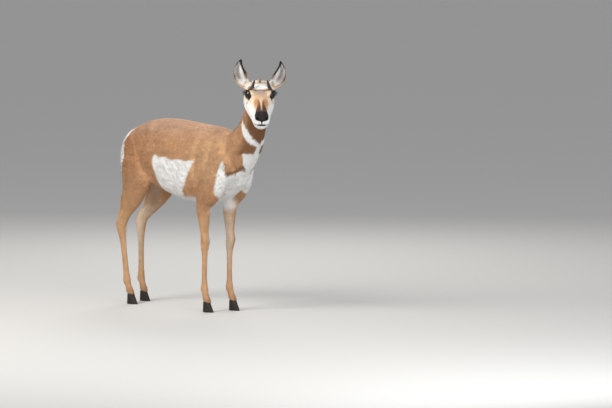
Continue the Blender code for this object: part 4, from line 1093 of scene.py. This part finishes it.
hoof_horn = worn_finish("Hoof horn", (0.011, 0.009, 0.008), (0.040, 0.030, 0.023), 60.0, (1, 1, 7), 0.42, 0.5)
for node in sorted(name for name in nodes if name.startswith("hoof_")):
    claw = make_claw(node)
    claw.data.materials.append(hoof_horn)
    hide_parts(node)
    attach(claw, "root")

# The coat
# Overlapping tufts of short hair with their roots in the skin. They lie as the hair does: from the nose
# back over the head, down the neck and the legs, and back and down the trunk.
neck_down = np.array((-0.45, 0.05, -0.89))


def mixed(first, second, share):
    """A way between two, place by place."""
    return first * (1 - share)[:, None] + second * share[:, None]


def lie_of(places, normals, seed):
    """The way the hair lies at each place, along the skin."""
    x, z = places[:, 0], places[:, 2]
    count = len(places)
    outward = np.sign(places[:, 1] - midline)
    ones = np.ones(count)
    trunk = np.stack([-ones, 0 * ones, -0.15 - 0.55 * ramp(np.abs(places[:, 1] - midline), 0.04, 0.13)], axis=1)
    haunch = np.stack([-0.45 * ones, 0.1 * outward, -ones], axis=1)
    chest = np.stack([-0.35 * ones, 0.15 * outward, -ones], axis=1)
    way = mixed(trunk, haunch, ramp(-x, 0.26, 0.40) * (1 - ramp(z, 0.80, 0.87)))
    way = mixed(way, chest, ramp(x, 0.16, 0.24))
    way = mixed(way, np.tile(neck_down, (count, 1)), ramp(z, 0.80, 0.88) * ramp(x, 0.18, 0.26))
    rump = np.stack([-0.4 * ones, 0.55 * outward, -0.8 * ones], axis=1)
    way = mixed(way, rump, ramp(-x, 0.43, 0.46) * ramp(z, 0.60, 0.66))
    way = mixed(way, np.stack([0 * ones, 0 * ones, -ones], axis=1), 1 - ramp(z, 0.48, 0.60))
    along, side, up = head_of(places).T
    face = np.tile(-np.array(face_way), (count, 1))
    face = face + np.array(left_way) * (side * 9.0)[:, None]
    cheek = 1 - ramp(up, -0.05, 0.0)
    face = face - np.array(crown_way) * (0.5 * cheek)[:, None]
    way = mixed(way, face, head_share(places))
    on_ear, height, across = ear_measures(places)
    ear_up = np.array(head_turn) @ EAR_UP
    ear_out = np.array(left_way) * np.sign(side)[:, None] * across[:, None]
    way = np.where(on_ear[:, None], ear_up + 0.25 * ear_out, way)
    random = np.random.default_rng(seed)
    way = unit(way - normals * (way * normals).sum(axis=1, keepdims=True))
    across_way = np.cross(normals, way)
    swing = 0.16 * waver(places, 0.050, seed + 1) + random.normal(0, 0.13, count)
    return unit(way + across_way * swing[:, None])


HAIR_LENGTH = 0.0180
TUFT_WIDTH = 0.0023
TIP_HEIGHT = 0.0015


def hair_size(places):
    """How long the hair is at each place, against the hair of the back."""
    x, z = places[:, 0], places[:, 2]
    size = np.ones(len(places))
    size += 0.20 * ramp(x, 0.22, 0.30) * (1 - ramp(z, 0.66, 0.76))
    size += 0.45 * ramp(-x, 0.41, 0.46) * ramp(z, 0.60, 0.68)
    size -= (size - 0.58) * ramp(z, 0.80, 1.00) * ramp(x, 0.18, 0.26)
    size -= (size - 0.50) * (1 - ramp(z, 0.40, 0.62))
    size -= (size - 0.40) * (1 - ramp(z, 0.05, 0.20))
    along = head_of(places)[:, 0]
    head = head_share(places)
    head_size = np.interp(along, (-0.04, 0.04, 0.10, 0.19, 0.24), (0.50, 0.36, 0.30, 0.24, 0.18))
    for sign in (1, -1):
        head_size *= 0.42 + 0.58 * ramp(beyond_opening(places, sign)[0], 0.003, 0.014)
    size += (head_size - size) * head
    return np.where(ear_measures(places)[0], 0.42, size)


skin.data.calc_loop_triangles()
corner_flat = np.empty(len(skin.data.loop_triangles) * 3, np.int32)
skin.data.loop_triangles.foreach_get("vertices", corner_flat)
skin_corners = corner_flat.reshape(-1, 3)
skin_middles = skin_places[skin_corners].mean(axis=1)
first_edges = skin_places[skin_corners[:, 1]] - skin_places[skin_corners[:, 0]]
second_edges = skin_places[skin_corners[:, 2]] - skin_places[skin_corners[:, 0]]
skin_areas = np.linalg.norm(np.cross(first_edges, second_edges), axis=1) / 2
MOST_TUFTS = 19400


def roots_on(chosen, spacing, seed):
    """Even random places on the chosen faces, about one for each square of the spacing, with normals."""
    random = np.random.default_rng(seed)
    faces = np.nonzero(chosen)[0]
    areas = skin_areas[faces]
    count = int(areas.sum() / spacing**2 * 2.6)
    picked = faces[random.choice(len(faces), count, p=areas / areas.sum())]
    a, b = random.random((2, count))
    over = a + b > 1
    a, b = np.where(over, 1 - a, a), np.where(over, 1 - b, b)
    weights = np.stack([1 - a - b, a, b], axis=1)[:, :, None]
    corners = skin_corners[picked]
    places = (skin_places[corners] * weights).sum(axis=1)
    normals = unit((skin_normals[corners] * weights).sum(axis=1))
    cells = np.floor(places / (spacing * 0.92)).astype(np.int64)
    _, kept = np.unique(cells @ np.array((1, 100003, 10000600009)), return_index=True)
    kept = random.permutation(kept)[:MOST_TUFTS]
    return places[kept], normals[kept]


def make_tufts(name, roots, normals, way, length, width, height, colours, axis):
    """One mesh of closed tapering tufts. Each is a bent sliver with a three-sided section."""
    count = len(roots)
    random = np.random.default_rng(len(name) * 101 + count)
    side = np.cross(normals, way)
    length = (length * random.uniform(0.75, 1.2, count))[:, None]
    width = (width * random.uniform(0.75, 1.2, count))[:, None]
    height = (height * random.uniform(0.6, 1.25, count))[:, None]
    sink = -0.0006
    levels = [(0.0, sink, 0.75, 0.16), (0.45, height * 0.75, 1.0, 0.18)]
    points = []
    for reach, rise, share, thick in levels:
        middle = roots + way * length * reach + normals * rise
        points.append(middle - side * width * 0.5 * share)
        points.append(middle + side * width * 0.5 * share)
        points.append(middle + normals * width * thick)
    bend = random.normal(0, 0.10, count)[:, None]
    points.append(roots + way * length + side * length * bend + normals * height)
    verts = np.stack(points, axis=1).reshape(-1, 3)
    pattern = np.array([(0, 2, 1), (0, 1, 4), (0, 4, 3), (1, 2, 5), (1, 5, 4), (2, 0, 3), (2, 3, 5), (3, 4, 6),
                        (4, 5, 6), (5, 3, 6)])
    sliver = verts[:7]
    volume = sum(np.dot(sliver[a], np.cross(sliver[b], sliver[c])) for a, b, c in pattern)
    if volume < 0:
        pattern = pattern[:, ::-1]
    faces = (pattern[None] + 7 * np.arange(count)[:, None, None]).reshape(-1, 3)
    mesh = bpy.data.meshes.new(name)
    mesh.vertices.add(len(verts))
    mesh.vertices.foreach_set("co", verts.ravel())
    mesh.loops.add(len(faces) * 3)
    mesh.loops.foreach_set("vertex_index", faces.ravel())
    mesh.polygons.add(len(faces))
    mesh.polygons.foreach_set("loop_start", np.arange(len(faces)) * 3)
    mesh.update(calc_edges=True)
    # Each tuft is painted darker at its root and sides, as shade deep in the coat, and lighter along its top, as
    # painted light; its tip is a little paler, as the hair's own tips are. Dark hair shows more of its unevenness and
    # of this painted shade than white hair
    plain = 1 - 0.65 * ramp(colours.min(axis=1), 0.35, 0.75)[:, None]
    tone = 1 + random.uniform(-0.12, 0.12, count)[:, None] * plain
    shades = (-0.18, -0.18, -0.14, -0.03, -0.03, 0.0, 0.06)
    shaded = np.stack([colours * tone * (1 + shade * plain) for shade in shades], axis=1).reshape(-1, 3)
    colour_map(mesh, "Markings", np.minimum(shaded, 0.95))
    patch_map(mesh, roots, faces, axis)
    mesh.shade_smooth()
    return link(name, mesh)


PATCH = 0.003


def patch_map(mesh, roots, faces, axis):
    """Gives each tuft a small patch at its root's place on the skin's own unwrap round the given axis."""
    start, way = np.array(axis[0]), unit(np.array([axis[1]]))[0]
    offset = roots - start
    along = offset @ way
    first = unit(np.array([np.cross(way, (0.31, 0.83, 0.47))]))[0]
    second = np.cross(way, first)
    middle_of_roots = offset.mean(axis=0)
    zero = math.atan2(middle_of_roots @ second, middle_of_roots @ first)
    around = np.arctan2(offset @ second, offset @ first) - zero
    around = (around + math.pi) % (2 * math.pi)
    spread = []
    for value in (around, along):
        low, high = value.min(), value.max()
        spread.append(0.004 + 0.992 * (value - low) / max(high - low, 1e-6))
    across_patch = np.array((-0.5, 0.5, 0.0, -0.5, 0.5, 0.0, 0.0))
    along_patch = np.array((-0.5, -0.5, -0.35, 0.0, 0.0, 0.15, 0.5))
    u = spread[0][:, None] + across_patch * PATCH
    v = spread[1][:, None] + along_patch * PATCH
    corners = np.stack([u, v], axis=2).reshape(-1, 2)
    layer = mesh.uv_layers.new(name="OFBake")
    layer.uv.foreach_set("vector", corners[faces.ravel()].ravel())


coat_finish = hair_finish("Coat hair", 0.72, 500.0, 0.25, 0.03)
middle_x, middle_z = skin_middles[:, 0], skin_middles[:, 2]
middle_side = np.sign(skin_middles[:, 1] - midline)
middle_head = head_share(skin_middles) > 0.5
middle_ear = ear_measures(skin_middles)[0]
middle_height = ear_measures(skin_middles)[1]
middle_along, middle_left, middle_up = head_of(skin_middles).T
bare_muzzle = muzzle_marks(skin_middles)
bare_skin = (bare_muzzle[0] + bare_muzzle[1] + bare_muzzle[2] + bare_muzzle[3]) > 0.3
for sign in (1, -1):
    eye_centre, eye_look, eye_level, eye_rise = eye_axes(sign)
    to_eye = skin_middles - eye_centre
    outside_lids = beyond_opening(skin_middles, sign)[0]
    bare_skin |= (np.linalg.norm(to_eye, axis=1) < EYE_RADIUS + 0.010) & (outside_lids < 0.0030)
haired = ~bare_skin
trunk_part = haired & ~middle_head & (middle_z > 0.53)
neck_part = trunk_part & (middle_x > 0.235) & (middle_z > 0.70)
rump_part = trunk_part & (middle_x < -0.425) & (middle_z > 0.60)
body_part = trunk_part & ~neck_part & ~rump_part
hind_part = haired & ~middle_head & (middle_z <= 0.53) & (middle_x < -0.1)
fore_part = haired & ~middle_head & (middle_z <= 0.53) & (middle_x >= -0.1)
face_part = haired & middle_head & ~middle_ear & (middle_along > 0.085)
poll_part = haired & middle_head & ~middle_ear & (middle_along <= 0.085)
BODY_AXIS = ((0.0, midline, 0.70), (1.0, 0.0, 0.0))
NECK_AXIS = ((0.30, midline, 0.85), (0.45, -0.05, 0.89))
HEAD_AXIS = (tuple(in_head(0.10, 0.0, -0.035)), tuple(face_way))
front_half = middle_x > -0.12
# Each piece: name, faces, spacing of the tufts, length and rise against the usual hair there, unwrap's axis
COAT_PIECES = [
    ("coat_neck", neck_part, 0.0031, 1.0, 1.0, NECK_AXIS),
    ("coat_rump", rump_part, 0.0036, 1.0, 1.2, BODY_AXIS),
    ("coat_poll", poll_part, 0.0023, 1.0, 0.9, HEAD_AXIS),
    ("coat_face", face_part, 0.0017, 1.0, 0.5, HEAD_AXIS),
]
for side, sign in SIDES.items():
    chosen = middle_side == sign
    hind_axis = ((-0.33, midline + sign * 0.07, 0.3), (0.0, 0.0, 1.0))
    fore_axis = ((0.12, midline + sign * 0.07, 0.3), (0.0, 0.0, 1.0))
    ear_axis = (tuple(in_head(-0.02, 0.085 * sign, 0.05)), tuple(np.array(head_turn) @ EAR_UP))
    ear_part = haired & middle_ear & (np.sign(middle_left) == sign)
    COAT_PIECES += [
        ("coat_barrel_" + side, body_part & chosen & front_half, 0.0035, 1.0, 1.0, BODY_AXIS),
        ("coat_haunch_" + side, body_part & chosen & ~front_half, 0.0035, 1.0, 1.0, BODY_AXIS),
        ("coat_hindleg_" + side, hind_part & chosen, 0.0036, 1.0, 1.0, hind_axis),
        ("coat_foreleg_" + side, fore_part & chosen, 0.0036, 1.0, 1.0, fore_axis),
        ("coat_ear_" + side, ear_part, 0.0022, 0.9, 0.6, ear_axis),
    ]


def grow_coat(name, chosen, spacing, stretch, rise, axis, seed, lean=None):
    """One piece of the coat on the chosen faces."""
    roots, normals = roots_on(chosen, spacing, seed)
    way = lie_of(roots, normals, seed + 100)
    if lean is not None:
        way = unit(way + np.array(lean))
    size = hair_size(roots)
    colours = markings(roots, normals)
    white = ramp(colours.min(axis=1), 0.40, 0.75)
    length = HAIR_LENGTH * size * stretch
    width = TUFT_WIDTH * size**0.75 * (1 + 0.30 * white) * 1.0
    height = TIP_HEIGHT * size**0.8 * rise * (1 - 0.30 * white)
    tufts = make_tufts(name, roots, normals, way, length, width, height, colours, axis)
    tufts.data.materials.append(coat_finish)
    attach(tufts, "root")
    print("TUFTS", name, len(roots))


for number, (name, chosen, spacing, stretch, rise, axis) in enumerate(COAT_PIECES):
    grow_coat(name, chosen, spacing, stretch, rise, axis, 100 + number)

# The mane, the crown and the tail
# Longer hair that stands a little: the brown mane down the nape, the cream tuft between the horns with
# its brown wisp, the fringes in the ears and the end of the tail.
nape_turn = np.abs(neck_angle(skin_middles))
mane_part = haired & ~middle_head & (nape_turn > 164) & (middle_z > 0.87) & (middle_x > 0.15)
poll_top = poll_part & (middle_up > 0.0) & (middle_along < -0.022) & (np.abs(middle_left) < 0.020)
crown_part = poll_part & (middle_up > 0.012) & (middle_along < 0.020) & (np.abs(middle_left) < 0.034)
wisp_part = poll_part & (np.abs(middle_left - 0.001) < 0.0045) & (np.abs(middle_along - 0.002) < 0.011) & (middle_up > 0.0)
tail_part = haired & (middle_x < -0.535) & (np.abs(skin_middles[:, 1] - midline) < 0.025)
middle_across = ear_measures(skin_middles)[2]
middle_facing = skin_normals[skin_corners].mean(axis=1) @ (np.array(head_turn) @ EAR_FORWARD)
fringe_part = middle_ear & (middle_facing > 0.1) & (np.abs(middle_across) > 0.62) & (middle_height > 0.02)
fringe_part &= middle_height < 0.72
LONG_HAIR = [
    ("mane_nape", mane_part, 0.0042, 2.2, 4.0, NECK_AXIS),
    ("mane_poll", poll_top, 0.0036, 2.0, 2.0, HEAD_AXIS),
    ("crown", crown_part, 0.0030, 1.3, 1.2, HEAD_AXIS),
    ("crown_wisp", wisp_part, 0.0020, 2.2, 13.0, HEAD_AXIS),
    ("tail_hair", tail_part, 0.0026, 1.1, 1.4, BODY_AXIS),
    ("ear_fringe", fringe_part, 0.0036, 1.3, 1.2, HEAD_AXIS),
]
for number, (name, chosen, spacing, stretch, rise, axis) in enumerate(LONG_HAIR):
    grow_coat(name, chosen, spacing, stretch, rise, axis, 300 + number)

# The lashes
# Black hairs along the edge of each upper lid, longest at the outer corner, standing out sideways.
LASH_COUNT = 190
LASH_FROM = math.radians(-80.0)
LASH_TO = math.radians(58.0)
LASH_LONGEST_AT = math.radians(-52.0)


def make_lashes(side, sign):
    """One mesh of curved lashes on an upper lid, set round the opening from its outer to its inner side."""
    centre, look, level, rise = eye_axes(sign)
    round_at = np.linspace(LASH_FROM, LASH_TO, LASH_COUNT)
    height = np.where(round_at > 0, OPENING_UP, OPENING_DOWN)
    along = -(OPENING_HALF_LENGTH + 0.0014) * np.cos(round_at)
    up = (height + 0.0014) * np.sin(round_at)
    outward = np.array(left_way) * sign
    arc = np.hypot(along, up)
    across = (level * along[:, None] + rise * up[:, None]) / arc[:, None]
    turned = (arc / EYE_RADIUS)[:, None]
    ways = look * np.cos(turned) + across * np.sin(turned)
    roots = centre + ways * (EYE_RADIUS + 0.0018)
    random = np.random.default_rng(7)
    droop = random.uniform(-0.10, 0.35, LASH_COUNT)
    way = unit(ways * 0.8 + outward * 0.7 + level * droop[:, None] + np.array(face_way) * -0.10)
    normal = unit(np.cross(np.cross(way, -level), way))
    colours = np.tile(np.array(BLACK), (LASH_COUNT, 1))
    length = 0.0055 + 0.0095 * np.exp(-(((round_at - LASH_LONGEST_AT) / 0.45) ** 2))
    name = "lashes_" + side
    return make_tufts(name, roots, normal, way, length, 0.0015, 0.0018, colours, (centre, look))


for side, sign in SIDES.items():
    lashes = make_lashes(side, sign)
    lashes.data.materials.append(coat_finish)
    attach(lashes, "root")

# The camera
# It stands far off at the animal's right front, a little above its back, as the photograph was taken,
# and the animal stands in the left part of the view.
CAMERA_SIDE = math.radians(45.0)
CAMERA_RISE = math.radians(5.0)
CAMERA_AWAY = 25.0
METRES_PER_PIXEL = 0.00475
VIEW_WIDTH = 612
camera_back = Vector((
    math.sin(CAMERA_SIDE) * math.cos(CAMERA_RISE),
    -math.cos(CAMERA_SIDE) * math.cos(CAMERA_RISE),
    math.sin(CAMERA_RISE),
))
camera_right = Vector((math.cos(CAMERA_SIDE), math.sin(CAMERA_SIDE), 0.0))
camera_up = camera_back.cross(camera_right)
trunk_place = Vector((-0.1209, midline, 0.0))
view_middle = trunk_place + camera_right * (118.5 * METRES_PER_PIXEL) + camera_up * (103.5 * METRES_PER_PIXEL)
lens = bpy.data.cameras.new("camera")
lens.sensor_width = 36.0
lens.lens = 36.0 * CAMERA_AWAY / (VIEW_WIDTH * METRES_PER_PIXEL)
lens.clip_end = 200.0
camera = bpy.data.objects.new("camera", lens)
camera.matrix_world = (
    Matrix.Translation(view_middle + camera_back * CAMERA_AWAY)
    @ Matrix((camera_right, camera_up, camera_back)).transposed().to_4x4()
)
bpy.context.scene.collection.objects.link(camera)
bpy.context.scene.camera = camera

# The floor and the light
# A plain pale floor, a large soft light from above and the left, a weaker one from the right and a pale
# room around.
floor_shape = bmesh.new()
bmesh.ops.create_grid(floor_shape, x_segments=1, y_segments=1, size=40.0)
floor = link("floor", mesh_of("floor", floor_shape))
floor_finish = bpy.data.materials.new("Pale floor")
floor_finish.use_nodes = True
floor_shader = floor_finish.node_tree.nodes["Principled BSDF"]
floor_shader.inputs["Base Color"].default_value = (0.50, 0.49, 0.47, 1.0)
floor_shader.inputs["Roughness"].default_value = 0.9
floor.data.materials.append(floor_finish)

room = bpy.data.worlds.new("room")
room.use_nodes = True
room.node_tree.nodes["Background"].inputs["Color"].default_value = (0.90, 0.92, 0.96, 1.0)
room.node_tree.nodes["Background"].inputs["Strength"].default_value = 0.60
bpy.context.scene.world = room


def soft_light(name, place, aim, size, power, colour):
    """A square light that shines at a place."""
    light = bpy.data.lights.new(name, "AREA")
    light.size = size
    light.energy = power
    light.color = colour
    obj = bpy.data.objects.new(name, light)
    obj.matrix_world = Matrix.Translation(place) @ (aim - place).to_track_quat("-Z", "Y").to_matrix().to_4x4()
    bpy.context.scene.collection.objects.link(obj)


bpy.context.scene.view_settings.view_transform = "Standard"
light_aim = Vector((0.0, 0.0, 0.7))
soft_light("key", Vector((-0.6, -3.6, 3.6)), light_aim, 2.2, 205.0, (1.0, 0.97, 0.92))
soft_light("fill", Vector((3.6, -1.2, 1.8)), light_aim, 2.6, 85.0, (0.94, 0.97, 1.0))
soft_light("rim", Vector((-2.2, 2.6, 2.8)), light_aim, 1.8, 60.0, (1.0, 0.98, 0.95))
